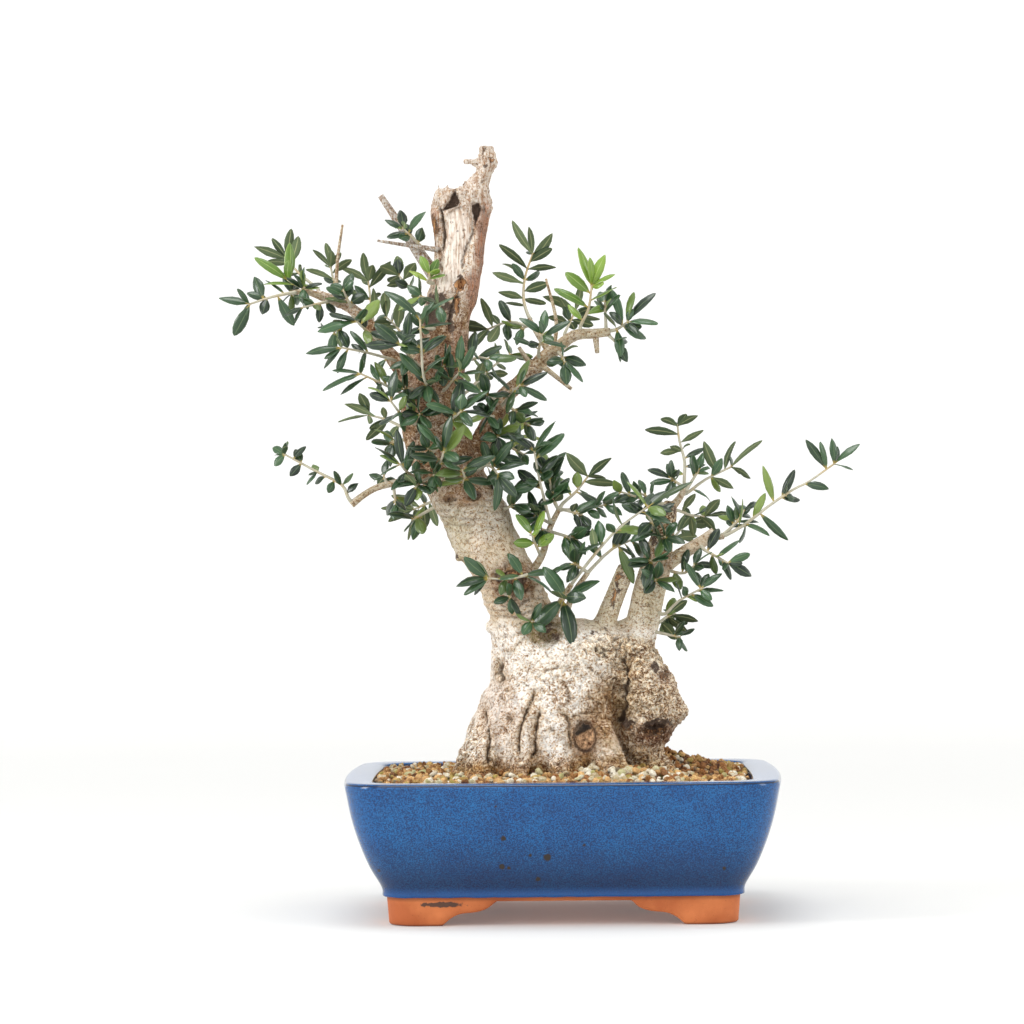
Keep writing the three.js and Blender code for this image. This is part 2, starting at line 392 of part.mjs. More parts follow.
// The bracket-shaped opening between two feet, run right through under the pot.
function footOpening(start, alongY) {
  const { toe, shoulder, neck, top } = FOOT_ARCH;
  const outline = new THREE.Shape();
  outline.moveTo(-start, -1);
  outline.lineTo(-start, 0);
  outline.quadraticCurveTo(toe[0] - start, toe[1], shoulder[0] - start, shoulder[1]);
  outline.quadraticCurveTo(neck[0] - start, neck[1], top[0] - start, top[1]);
  outline.lineTo(start - top[0], top[1]);
  outline.quadraticCurveTo(start - neck[0], neck[1], start - shoulder[0], shoulder[1]);
  outline.quadraticCurveTo(start - toe[0], toe[1], start, 0);
  outline.lineTo(start, -1);
  outline.closePath();
  const through = 2 * POT.halfWidth;
  const settings = { depth: through, bevelEnabled: false, curveSegments: 3 };
  const geometry = new THREE.ExtrudeGeometry(outline, settings);
  geometry.translate(0, 0, -through / 2);
  geometry.rotateX(Math.PI / 2);
  if (!alongY) geometry.rotateZ(Math.PI / 2);
  return toSolid(geometry);
}

// A drainage hole's drill, from one height to another.
function drill(low, high, x) {
  const geometry = new THREE.CylinderGeometry(DRAIN.radius, DRAIN.radius, high - low, DRAIN.sides);
  geometry.rotateX(Math.PI / 2);
  geometry.translate(x, 0, (low + high) / 2);
  return toSolid(geometry);
}

function makePot() {
  const underInset = POT.footInset + FOOT_WALL;
  let pot = potSkin(POT_OUTSIDE).subtract(potSkin(POT_INSIDE));
  pot = pot.subtract(potSkin([[-1, underInset], [FLOOR_UNDERSIDE, underInset]]));
  pot = pot.subtract(footOpening(FOOT_ARCH.front, true));
  pot = pot.subtract(footOpening(FOOT_ARCH.side, false));
  for (const x of [-DRAIN.x, DRAIN.x]) {
    pot = pot.subtract(drill(FLOOR_UNDERSIDE - 1, POT_INSIDE[0][0] + 1, x));
  }
  return pot;
}

// A block with its middle at x, y and its underside at the given height.
function block(side, thick, x, y, underside) {
  const geometry = new THREE.BoxGeometry(side, side, thick);
  geometry.translate(x, y, underside + thick / 2);
  return toSolid(geometry);
}

// A square plastic screen that lies over a drainage hole.
function makeScreen(x) {
  const underside = POT_INSIDE[0][0] + GAP;
  const pitch = SCREEN.side / SCREEN.holes;
  let screen = block(SCREEN.side, SCREEN.thick, x, 0, underside);
  for (let i = 0; i < SCREEN.holes; i++) {
    for (let j = 0; j < SCREEN.holes; j++) {
      const [dx, dy] = [(i + 0.5) * pitch - SCREEN.side / 2, (j + 0.5) * pitch - SCREEN.side / 2];
      screen = screen.subtract(block(SCREEN.hole, 3 * SCREEN.thick, x + dx, dy, underside - SCREEN.thick));
    }
  }
  return screen;
}

// ---- Soil ----

// Repeatable draws between 0 and 1.
function seeded(seed) {
  let state = seed;
  return () => {
    state = (state * 1664525 + 1013904223) % 4294967296;
    return state / 4294967296;
  };
}

function soilHeight(x, y) {
  let height = SOIL.level;
  for (const [mx, my, rise, spreadX, spreadY] of SOIL_MOUNDS) {
    height += rise * Math.exp(-(((x - mx) / spreadX) ** 2) - ((y - my) / spreadY) ** 2);
  }
  return height;
}

// The bed fills the pot below the rim; its top is drawn up into granules.
function makeSoil(wood) {
  const [width, depth] = [2 * (POT.halfWidth - SOIL.inset), 2 * (POT.halfDepth - SOIL.inset)];
  const [columns, rows] = [Math.round(width / GRAIN.step), Math.round(depth / GRAIN.step)];
  const geometry = new THREE.BoxGeometry(width, depth, 1, columns, rows, 1);
  const position = geometry.attributes.position;
  for (let i = 0; i < position.count; i++) {
    const [x, y] = [position.getX(i), position.getY(i)];
    const draw = seeded(GRAIN.seedX * Math.round(x + width) + GRAIN.seedY * Math.round(y + depth));
    const grain = GRAIN.rise * (2 * draw() - 1);
    position.setZ(i, position.getZ(i) > 0 ? soilHeight(x + POT.x, y) + grain : SOIL.bottom);
  }
  const inside = POT_INSIDE.map(([height, inset]) => [
    height + (height < RIM_UNDERSIDE ? GAP : -GAP),
    inset + 1.5 * GAP,
  ]);
  let soil = toSolid(geometry).intersect(potSkin(inside));
  const underside = POT_INSIDE[0][0];
  for (const x of [-DRAIN.x, DRAIN.x]) {
    soil = soil.subtract(block(SCREEN.side + 2 * GAP, SCREEN.thick + 2 * GAP, x, 0, underside));
  }
  return largestBody(soil.translate([POT.x, 0, 0]).subtract(wood));
}

// ---- Wood ----

const LUMPS = 0.045; // how far the stump swells and sinks around its rings
const RING_SIDES = { stump: 16, lobe: 12, trunk: 12, spike: 6 };
const ROD_SIDES = 4;
const BIG_KNOB = 8; // a swelling or hollow larger than this gets more faces

// A stack of level oval rings; lumps swell the front and back, never the left and right edges.
function ovalStack(rows, sides, grow, lumps) {
  return skin(sides, rows.length, (point, ring, angle, reach) => {
    const [height, left, right, middle, halfDepth] = rows[ring];
    const swell = 1 + lumps * Math.sin(3 * angle + 0.11 * height) * Math.abs(Math.sin(angle));
    const end = ring === 0 ? -grow : ring === rows.length - 1 ? grow : 0;
    point.set(
      (left + right) / 2 + reach * ((right - left) / 2 + grow) * Math.cos(angle),
      middle + reach * (halfDepth * swell + grow) * Math.sin(angle),
      height + end,
    );
  });
}

// A rod through the points, with a radius at each of them.
function rod({ at, r, sides = ROD_SIDES }, grow = 0) {
  const points = at.map((p) => new THREE.Vector3(...p));
  const last = points.length - 1;
  const frames = [];
  let across = null;
  points.forEach((p, i) => {
    const along = new THREE.Vector3();
    if (i > 0) along.add(p.clone().sub(points[i - 1]).normalize());
    if (i < last) along.add(points[i + 1].clone().sub(p).normalize());
    along.normalize();
    across ??= Math.abs(along.y) < 0.8 ? new THREE.Vector3(0, 1, 0) : new THREE.Vector3(1, 0, 0);
    across = across.clone().addScaledVector(along, -across.dot(along)).normalize();
    frames.push({ p, along, across, other: along.clone().cross(across) });
  });
  return skin(sides, points.length, (point, ring, angle, reach) => {
    const { p, along, across: u, other: v } = frames[ring];
    const radius = reach * (r[ring] + grow);
    const end = ring === 0 ? -grow : ring === last ? grow : 0;
    point.copy(p).addScaledVector(u, radius * Math.cos(angle)).addScaledVector(v, radius * Math.sin(angle));
    point.addScaledVector(along, end);
  });
}

function ovalBall([x, y, z, a, b, c], grow = 0) {
  const geometry = new THREE.IcosahedronGeometry(1, Math.max(a, b, c) > BIG_KNOB ? 1 : 0);
  geometry.scale(a + grow, b + grow, c + grow);
  geometry.translate(x, y, z);
  return toSolid(geometry);
}

function splinter([foot, tip]) {
  return rod({ at: [foot, tip], r: SPLINTER_RADII });
}

// A wedge cut into the trunk's front face, from well before it to WEDGE_DEPTH behind it.
function wedge(outline) {
  const shape = new THREE.Shape(outline.map(([x, z]) => new THREE.Vector2(x, z)));
  const geometry = new THREE.ExtrudeGeometry(shape, { depth: 2 * WEDGE_DEPTH, bevelEnabled: false });
  geometry.rotateX(Math.PI / 2);
  geometry.translate(0, WEDGE_DEPTH - TOP_FRONT, 0);
  return toSolid(geometry);
}

// Every grown piece of the wood before it is joined.
function woodPieces(grow) {
  return [
    ovalStack(STUMP, RING_SIDES.stump, grow, LUMPS),
    ovalStack(RIGHT_LOBE, RING_SIDES.lobe, grow, LUMPS),
    ovalStack(TRUNK, RING_SIDES.trunk, grow, LUMPS / 2),
    ovalStack(SPIKE, RING_SIDES.spike, grow, 0),
    ...[...ROOTS, ...STEMS, ...BRANCHES].map((one) => rod(one, grow)),
    ...KNOBS.map((one) => ovalBall(one, grow)),
  ];
}

function join(solids) {
  return solids.reduce((a, b) => a.add(b));
}

function makeWood() {
  let wood = join([...woodPieces(0), ...SPLINTERS.map(splinter)]);
  for (const hollow of HOLLOWS) wood = wood.subtract(ovalBall(hollow));
  for (const outline of WEDGES) wood = wood.subtract(wedge(outline));
  return largestBody(wood);
}

// ---- Leafy shoots ----

const vector = (p) => new THREE.Vector3(...p);

// The point and direction at a share of the way along a twig.
function alongTwig(twig, share) {
  const points = twig.map(vector);
  const lengths = points.slice(1).map((p, i) => p.distanceTo(points[i]));
  let left = share * lengths.reduce((a, b) => a + b, 0);
  let i = 0;
  while (i < lengths.length - 1 && left > lengths[i]) left -= lengths[i++];
  const direction = points[i + 1].clone().sub(points[i]).normalize();
  return { at: points[i].clone().addScaledVector(direction, left), direction };
}

function twigLength(twig) {
  return twig.slice(1).reduce((sum, p, i) => sum + vector(p).distanceTo(vector(twig[i])), 0);
}

// A leaf's face looks up and outwards, with some freedom, and square to its length.
function leafFace(base, axis, random) {
  const side = base.y > FACE.middle ? 1 : -1;
  const face = new THREE.Vector3(random() - 0.5, 0, 0);
  face.y = side * (FACE.outwards + (1 - FACE.outwards) * random());
  face.z = FACE.upwards + (1 - FACE.upwards) * random();
  return face.addScaledVector(axis, -face.dot(axis)).normalize();
}

// The leaves of a shoot: first those with a given tip, then the rest in opposite pairs.
function leavesOf(shoot, number) {
  const random = seeded(7919 * (number + 1));
  const { twig, tips, more, bare = BARE_FOOT } = shoot;
  const [length, width] = shoot.leaf;
  const total = twigLength(twig);
  const nodes = Math.max(3, Math.round(total / NODE_SPACING) + 1);
  const leafy = 1 - BUD / total - bare; // share of the twig that carries leaves
  const used = new Array(nodes).fill(0);
  const leaves = [];
  for (const [x, z] of tips) {
    const size = length * (LEAF_SIZE.least + LEAF_SIZE.spread * random());
    const side = random() < 0.5 ? -1 : 1;
    let best = null;
    for (let j = 0; j < nodes; j++) {
      const { at, direction } = alongTwig(twig, bare + (leafy * j) / (nodes - 1));
      const shown = Math.hypot(x - at.x, z - at.z);
      const forward = ((x - at.x) * direction.x + (z - at.z) * direction.z) / shown;
      const turnedBack = ROOTING.backwards * Math.max(0, -forward);
      const cost = Math.abs(shown - ROOTING.shown * size) + turnedBack + ROOTING.crowded * used[j];
      if (!best || cost < best.cost) best = { cost, at, shown, j };
    }
    used[best.j] += 1;
    const deep = Math.sqrt(Math.max(0, size * size - best.shown * best.shown));
    const away = Math.min(deep, ROOTING.deepest * best.shown);
    const tip = new THREE.Vector3(x, best.at.y + side * away, z);
    leaves.push({ base: best.at, tip });
  }
  const pairs = Math.ceil(more / 2);
  for (let i = 0; i < more; i++) {
    const pair = Math.floor(i / 2);
    const { at, direction } = alongTwig(twig, bare + leafy * (1 - pair / pairs));
    const across = new THREE.Vector3(direction.z, 0.3, -direction.x).cross(direction).normalize();
    const other = direction.clone().cross(across);
    const turn = (pair * Math.PI) / 2 + (i % 2) * Math.PI + FILL.turnSpread * random();
    const lean = FILL.lean + FILL.leanSpread * random();
    const size = length * (FILL.least + FILL.spread * random());
    const tip = at.clone().addScaledVector(direction, size * Math.cos(lean));
    tip.addScaledVector(across, size * Math.sin(lean) * Math.cos(turn));
    tip.addScaledVector(other, size * Math.sin(lean) * Math.sin(turn));
    leaves.push({ base: at, tip });
  }
  for (const leaf of leaves) {
    const axis = leaf.tip.clone().sub(leaf.base).normalize();
    leaf.base = leaf.base.clone().addScaledVector(axis, LEAF.root);
    leaf.face = leafFace(leaf.base, axis, random);
    leaf.width = width * (LEAF_SIZE.least + LEAF_SIZE.spread * random());
  }
  return leaves;
}

// The leaf turned in one of the ways of BENDS.
function bentLeaf({ base, tip, face, width }, [sideways, upwards, shorter]) {
  const axis = tip.clone().sub(base);
  const size = axis.length();
  axis.normalize();
  const side = face.clone().cross(axis);
  const turned = axis.clone().addScaledVector(side, sideways).addScaledVector(face, upwards).normalize();
  const turnedFace = face.clone().addScaledVector(turned, -face.dot(turned)).normalize();
  const end = base.clone().addScaledVector(turned, shorter * size);
  return { base, tip: end, face: turnedFace, width: width * shorter };
}

// A lens-shaped blade on the six points of LEAF_OUTLINE, with a ridge point above and below.
function leafSolid({ base, tip, face, width }, grow = 0) {
  const axis = tip.clone().sub(base);
  const size = axis.length();
  axis.normalize();
  const side = face.clone().cross(axis);
  const geometry = new THREE.ConeGeometry(1, 1, LEAF_OUTLINE.length, 1);
  const position = geometry.attributes.position;
  const step = (2 * Math.PI) / LEAF_OUTLINE.length;
  const point = new THREE.Vector3();
  for (let i = 0; i < position.count; i++) {
    const [sine, high, cosine] = [position.getX(i), position.getY(i), position.getZ(i)];
    const onRing = Math.hypot(sine, cosine) > 0.5;
    const index = Math.round(Math.atan2(sine, cosine) / step + LEAF_OUTLINE.length) % LEAF_OUTLINE.length;
    const [share, half] = onRing ? LEAF_OUTLINE[index] : [LEAF.ridge, 0];
    const reach = share * size + grow * (share === 1 ? 1.5 : 0);
    const lift = onRing ? 0 : Math.sign(high) * (LEAF.halfThick + grow);
    point.copy(base).addScaledVector(axis, reach);
    point.addScaledVector(side, half * (width / 2) + grow * Math.sign(half));
    point.addScaledVector(face, lift + LEAF.arch * size * 4 * share * (1 - share));
    position.setXYZ(i, point.x, point.y, point.z);
  }
  return toSolid(geometry);
}

// The middle lines of everything woody: points with the radius round each of them.
const WOOD_LINES = [
  ...[STUMP, RIGHT_LOBE, TRUNK, SPIKE].map((rows) =>
    rows.map(([z, left, right, y, halfDepth]) => ({
      at: new THREE.Vector3((left + right) / 2, y, z),
      radius: Math.min((right - left) / 2, halfDepth),
    })),
  ),
  ...[...ROOTS, ...STEMS, ...BRANCHES].map(({ at, r }) =>
    at.map((p, i) => ({ at: vector(p), radius: r[i] })),
  ),
];

// The point on a middle line of the wood whose bark lies nearest.
function rootedAt(point) {
  let best = null;
  for (const line of WOOD_LINES) {
    for (let i = 1; i < line.length; i++) {
      const stretch = new THREE.Line3(line[i - 1].at, line[i].at);
      const share = stretch.closestPointToPointParameter(point, true);
      const at = stretch.at(share, new THREE.Vector3());
      const radius = line[i - 1].radius + (line[i].radius - line[i - 1].radius) * share;
      const off = at.distanceTo(point) - radius;
      if (!best || off < best.off) best = { at, off };
    }
  }
  return best.at;
}

// The twig grows out of the wood's middle, so that it meets the bark wherever it starts.
function twigRod({ twig }) {
  const last = twig.length - 1;
  const radii = twig.map((_, i) => TWIG.foot + ((TWIG.tip - TWIG.foot) * i) / last);
  const foot = rootedAt(vector(twig[0])).toArray();
  return rod({ at: [foot, ...twig], r: [TWIG.foot, ...radii], sides: TWIG.sides });
}

// Whether a solid meets any of the obstacles.
function meets(solid, obstacles) {
  const box = boxOf(solid);
  return obstacles.some((other) => other.box.intersectsBox(box) && !solid.intersect(other.solid).isEmpty());
}

const obstacle = (solid) => ({ solid, box: boxOf(solid) });

// Every shoot as one solid: its twig, cut clear of the wood, with its leaves bent clear of the rest.
function makeShoots(fixed) {
  const grownWood = woodPieces(GAP).map(obstacle);
  const wood = [...woodPieces(0), ...fixed].map(obstacle);
  const twigs = SHOOTS.map((shoot) => obstacle(twigRod(shoot)));
  const placed = SHOOTS.map(() => []);
  SHOOTS.forEach((shoot, number) => {
    for (const leaf of leavesOf(shoot, number)) {
      const others = placed.filter((_, i) => i !== number).flat();
      const twigsOfOthers = twigs.filter((_, i) => i !== number);
      const clear = (one) => {
        const space = leafSolid(bentLeaf(leaf, one), GAP);
        return !meets(space, wood) && !meets(space, twigsOfOthers) && !meets(space, others);
      };
      const apart = (one) => !meets(leafSolid(bentLeaf(leaf, one)), placed[number]);
      const bend = BENDS.find((one) => apart(one) && clear(one)) ?? BENDS.find(clear);
      if (bend) placed[number].push(obstacle(leafSolid(bentLeaf(leaf, bend))));
    }
  });
  return SHOOTS.map((shoot, number) => {
    let solid = join([twigs[number].solid, ...placed[number].map((one) => one.solid)]);
    for (const other of grownWood) {
      if (other.box.intersectsBox(boxOf(solid))) solid = solid.subtract(other.solid);
    }
    return largestBody(solid);
  });
}

// ---- Assembly ----

const MATERIALS = {
  pot: new THREE.MeshStandardMaterial({ color: 0x2a4f8f, roughness: 0.2, metalness: 0 }),
  screen: new THREE.MeshStandardMaterial({ color: 0x1d1f20, roughness: 0.6, metalness: 0 }),
  soil: new THREE.MeshStandardMaterial({ color: 0xb9853f, roughness: 0.95, metalness: 0 }),
  wood: new THREE.MeshStandardMaterial({ color: 0xcfc0a4, roughness: 0.9, metalness: 0 }),
  leaf: new THREE.MeshStandardMaterial({ color: 0x35503a, roughness: 0.45, metalness: 0 }),
  youngLeaf: new THREE.MeshStandardMaterial({ color: 0x6f9a3a, roughness: 0.45, metalness: 0 }),
};

const wood = makeWood();
const grownWood = join(woodPieces(GAP));
const pot = makePot().translate([POT.x, 0, 0]);
const soil = makeSoil(grownWood);

const group = new THREE.Group();
group.name = "olive_bonsai";
group.add(toMesh("pot", pot, MATERIALS.pot));
group.add(toMesh("screen_left", makeScreen(POT.x - DRAIN.x), MATERIALS.screen));
group.add(toMesh("screen_right", makeScreen(POT.x + DRAIN.x), MATERIALS.screen));
group.add(toMesh("soil", soil, MATERIALS.soil));
group.add(toMesh("wood", wood, MATERIALS.wood));
makeShoots([soil, pot]).forEach((solid, number) => {
  const { name, young } = SHOOTS[number];
  group.add(toMesh("shoot_" + name, solid, young ? MATERIALS.youngLeaf : MATERIALS.leaf));
});

// The origin lies under the middle of the whole tree's box.
const whole = new THREE.Box3().setFromObject(group);
group.position.set(-(whole.min.x + whole.max.x) / 2, -(whole.min.y + whole.max.y) / 2, 0);

export default group;
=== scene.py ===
from math import ceil, cos, floor, pi, radians, sin, sqrt

import bmesh
import bpy
import numpy as np
from mathutils import Matrix, Vector, noise
from mathutils.bvhtree import BVHTree
from mathutils.kdtree import KDTree


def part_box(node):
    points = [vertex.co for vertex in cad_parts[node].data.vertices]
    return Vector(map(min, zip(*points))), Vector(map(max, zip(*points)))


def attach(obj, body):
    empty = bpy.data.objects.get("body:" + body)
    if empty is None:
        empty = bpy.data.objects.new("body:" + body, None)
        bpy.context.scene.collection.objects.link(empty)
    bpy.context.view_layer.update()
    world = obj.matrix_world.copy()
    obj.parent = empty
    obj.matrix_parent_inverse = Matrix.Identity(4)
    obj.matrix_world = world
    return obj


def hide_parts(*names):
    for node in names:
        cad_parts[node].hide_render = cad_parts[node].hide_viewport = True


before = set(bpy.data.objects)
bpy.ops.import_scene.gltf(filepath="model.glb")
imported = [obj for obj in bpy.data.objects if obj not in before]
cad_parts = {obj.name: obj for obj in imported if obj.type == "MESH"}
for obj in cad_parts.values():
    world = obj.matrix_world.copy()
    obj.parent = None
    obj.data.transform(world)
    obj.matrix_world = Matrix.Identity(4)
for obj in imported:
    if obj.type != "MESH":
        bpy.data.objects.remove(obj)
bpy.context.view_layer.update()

# ---- The pot ----
# A stoneware bonsai pot pressed in a mould: bulged walls, a flat rim turned inwards and four
# bracket feet. It is glazed royal blue down to the foot ring, which stays bare terracotta
# because the pot stood on it in the kiln. Two drainage holes go through its floor.

MM = 0.001
pot_low, pot_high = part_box("pot")
MIDDLE = np.array([(pot_low.x + pot_high.x) / 2, (pot_low.y + pot_high.y) / 2, 0])

RIM = {"half": np.array([132.5, 108]), "corner": 25, "corner_loss": 0.3, "bulge": 3.5}
FOOT = {"inset": 28, "wall": 13, "top": 17.2, "floor": 15, "arch": (72, 52)}
# Heights and insets, up the glazed wall and then over the rim and down the inside.
WALL = [[17.8, 24.1], [23, 23.3], [35, 15.7], [50, 8.9], [65, 3.9], [83, 0]]
LIP = [[84.6, 0.3], [85.5, 1], [86, 2.2], [86.1, 4], [86.1, 11], [85.9, 15.5], [85.5, 17.4], [84.6, 18.3],
       [83, 18.6], [78.5, 18], [76.3, 15], [72, 12.3], [52, 17], [36, 24.5], [28, 31], [26, 35.5]]
DRAIN = {"x": 45, "z": 20, "radius": 11, "depth": 20}
CORNER_COLUMNS = 14
SIDE_COLUMNS = (96, 72)  # along a long side and along a short one
QUARTERS = [(1, 1), (-1, 1), (-1, -1), (1, -1)]


def in_frame(points):
    """Points laid out in millimetres from the pot's middle, in the frame's metres."""
    return np.asarray(points, float) * MM + MIDDLE


def eased(rows, steps):
    """Rows of numbers with a smooth curve laid through them: steps rows for each stretch."""
    rows = np.asarray(rows, float)
    ends = np.vstack([2 * rows[0] - rows[1], rows, 2 * rows[-1] - rows[-2]])
    t = np.arange(steps)[:, None] / steps
    curve = []
    for a, b, c, d in zip(ends, ends[1:], ends[2:], ends[3:]):
        curve.append(b + t / 2 * (c - a) + t**2 * (a - 2.5 * b + 2 * c - d / 2)
                     + t**3 * (1.5 * (b - c) + (d - a) / 2))
    return np.vstack(curve + [rows[-1:]])


def bend(start, towards, end, steps=10):
    """Points on the curve from start to end that is drawn towards a third point."""
    t = np.linspace(0, 1, steps)[:, None]
    return (1 - t) ** 2 * start + 2 * t * (1 - t) * towards + t**2 * end


def pot_outline(inset):
    """The pot's outline at some inset from its rim: round corners and slightly bulged sides."""
    bulge = RIM["bulge"] * max(0, 1 - inset / FOOT["inset"])
    corner = max(1, RIM["corner"] - RIM["corner_loss"] * inset)
    reach = RIM["half"] - inset - bulge - corner
    points = []
    for quarter in range(4):
        here, there = (reach * QUARTERS[(quarter + i) % 4] for i in (0, 1))
        for turn in np.linspace(quarter, quarter + 1, CORNER_COLUMNS, endpoint=False) * pi / 2:
            points.append(here + corner * np.array([cos(turn), sin(turn)]))
        out = np.array([cos((quarter + 1) * pi / 2), sin((quarter + 1) * pi / 2)])
        for share in np.linspace(0, 1, SIDE_COLUMNS[quarter % 2], endpoint=False):
            side = here + (there - here) * share
            points.append(side + out * (corner + bulge * (1 - (2 * share - 1) ** 2)))
    return np.array(points)


ARCH = np.vstack([bend(np.array([0, 0]), np.array([6, 7]), np.array([14, 7.5])),
                  bend(np.array([14, 7.5]), np.array([28, 8]), np.array([31, 14.5]))])


def arch_heights(outline):
    """How high the foot ring's lower edge lies over each point of an outline."""
    heights = []
    for quarter in range(4):
        heights += [0] * CORNER_COLUMNS
        along = np.abs(outline[len(heights):len(heights) + SIDE_COLUMNS[quarter % 2], quarter % 2])
        heights += list(np.interp(FOOT["arch"][quarter % 2] - along, ARCH[:, 0], ARCH[:, 1]))
    return np.array(heights)


def foot_ring(inset, top, share, lift=0):
    """A ring of the foot: at share 0 along its arched lower edge, at share 1 level at its top."""
    outline = pot_outline(inset)
    arch = arch_heights(outline)
    room = np.minimum(1, (top - arch) / 4)
    return np.column_stack([outline, arch + (top - arch) * share + lift * room])


def level_ring(height, inset, wave=0):
    """A level ring of the pot, or one whose height wavers as the edge of a dipped glaze does."""
    outline = pot_outline(inset)
    waver = [noise.noise((x * 0.11, y * 0.11, 0)) + noise.noise((x * 0.4, y * 0.4, 9)) / 2
             for x, y in outline]
    return np.column_stack([outline, height + wave * np.array(waver)])


def loft(bm, rings):
    """A closed skin over a stack of rings of points: the first is laid down as a circle and each of
    the others is extruded from the one before it. Every vertex keeps the number of its ring."""
    order = bm.verts.layers.int.get("order") or bm.verts.layers.int.new("order")
    number = bm.verts.layers.int.get("ring") or bm.verts.layers.int.new("ring")
    verts = bmesh.ops.create_circle(bm, segments=len(rings[0]), radius=1)["verts"]
    for i, vert in enumerate(verts):
        vert[order] = i
        vert.co = rings[0][i]
    edges = list({edge for vert in verts for edge in vert.link_edges})
    bmesh.ops.contextual_create(bm, geom=edges)
    for i, ring in enumerate(rings[1:], 1):
        grown = bmesh.ops.extrude_edge_only(bm, edges=edges)["geom"]
        verts = {item for item in grown if isinstance(item, bmesh.types.BMVert)}
        edges = [item for item in grown if isinstance(item, bmesh.types.BMEdge) and set(item.verts) <= verts]
        for vert in verts:
            vert[number] = i
            vert.co = ring[vert[order]]
    bmesh.ops.contextual_create(bm, geom=edges)


def new_object(name, bm, *materials):
    """The bmesh as an object of the scene, whose origin is the frame's."""
    mesh = bpy.data.meshes.new(name)
    bm.to_mesh(mesh)
    bm.free()
    for one in materials:
        mesh.materials.append(one)
    mesh.shade_smooth()
    made = bpy.data.objects.new(name, mesh)
    bpy.context.scene.collection.objects.link(made)
    return made


def apply_modifiers(made):
    """Lays an object's modifiers down in its mesh."""
    mesh = bpy.data.meshes.new_from_object(made.evaluated_get(bpy.context.evaluated_depsgraph_get()))
    made.modifiers.clear()
    made.data = mesh


def linear(code):
    """A colour written as sRGB hex, as the linear values that shaders take."""
    parts = [int(code[i:i + 2], 16) / 255 for i in (1, 3, 5)]
    return tuple(c / 12.92 if c <= 0.04045 else ((c + 0.055) / 1.055) ** 2.4 for c in parts) + (1,)


def add(tree, kind, inputs={}, **settings):
    """Adds a shader node. Each input is a value, a colour's code, or the socket or the node that
    feeds it, a node by the first of its outputs that is in use. A Mix has its share at 0 and its
    colours at 6 and 7; a MapRange has its value at 0, the range it is read from at 1 and 2, and the
    range it is mapped to at 3 and 4."""
    node = tree.nodes.new("ShaderNode" + kind)
    if kind == "Mix":
        node.data_type = "RGBA"
    for name, value in settings.items():
        setattr(node, name, value)
    for name, value in inputs.items():
        if isinstance(value, bpy.types.Node):
            value = next(socket for socket in value.outputs if socket.enabled)
        if isinstance(value, bpy.types.NodeSocket):
            tree.links.new(value, node.inputs[name])
        else:
            node.inputs[name].default_value = linear(value) if isinstance(value, str) else value
    return node


def new_material(name):
    """A material, its empty node tree and the socket that gives the place of a point."""
    made = bpy.data.materials.new(name)
    made.use_nodes = True
    tree = made.node_tree
    tree.nodes.clear()
    return made, tree, add(tree, "TexCoord").outputs["Object"]


def in_oval(tree, place, middle, half):
    """How far across and how far up a point lies from an oval's middle as it looks from the front,
    and how far in all, in half widths and half heights of the oval."""
    spot = add(tree, "SeparateXYZ", {0: place}).outputs
    across, up = (add(tree, "MapRange", {0: spot[i], 1: middle[i], 2: middle[i] + reach * MM}, clamp=False)
                  for i, reach in zip((0, 2), half))
    flat = add(tree, "CombineXYZ", {0: across, 1: up})
    return across, up, add(tree, "VectorMath", {0: flat}, operation="LENGTH")


# Stoneware glaze, dipped and fired: glass over clay, so it mirrors its surroundings. Cobalt gives
# a blue that is finely mottled and breaks to a dark line on the edge of the rim; the blue is drawn
# darker down the wall and lighter along its lower edge. The mottling is drawn 0.8 mm coarse, so
# that it shows. A few pinholes show the clay: place across and up, and radius.
PINHOLES = [(-39, 73, 0.7), (-34.7, 53.7, 1.6), (-19.2, 43.4, 1.1), (-9.1, 42, 2.2), (-35.9, 36.4, 1.8),
            (-31.9, 35.5, 1.1), (-14.8, 28.5, 1.5), (12.6, 49.3, 0.9), (95, 34.2, 1.2), (-109, 33.8, 1)]


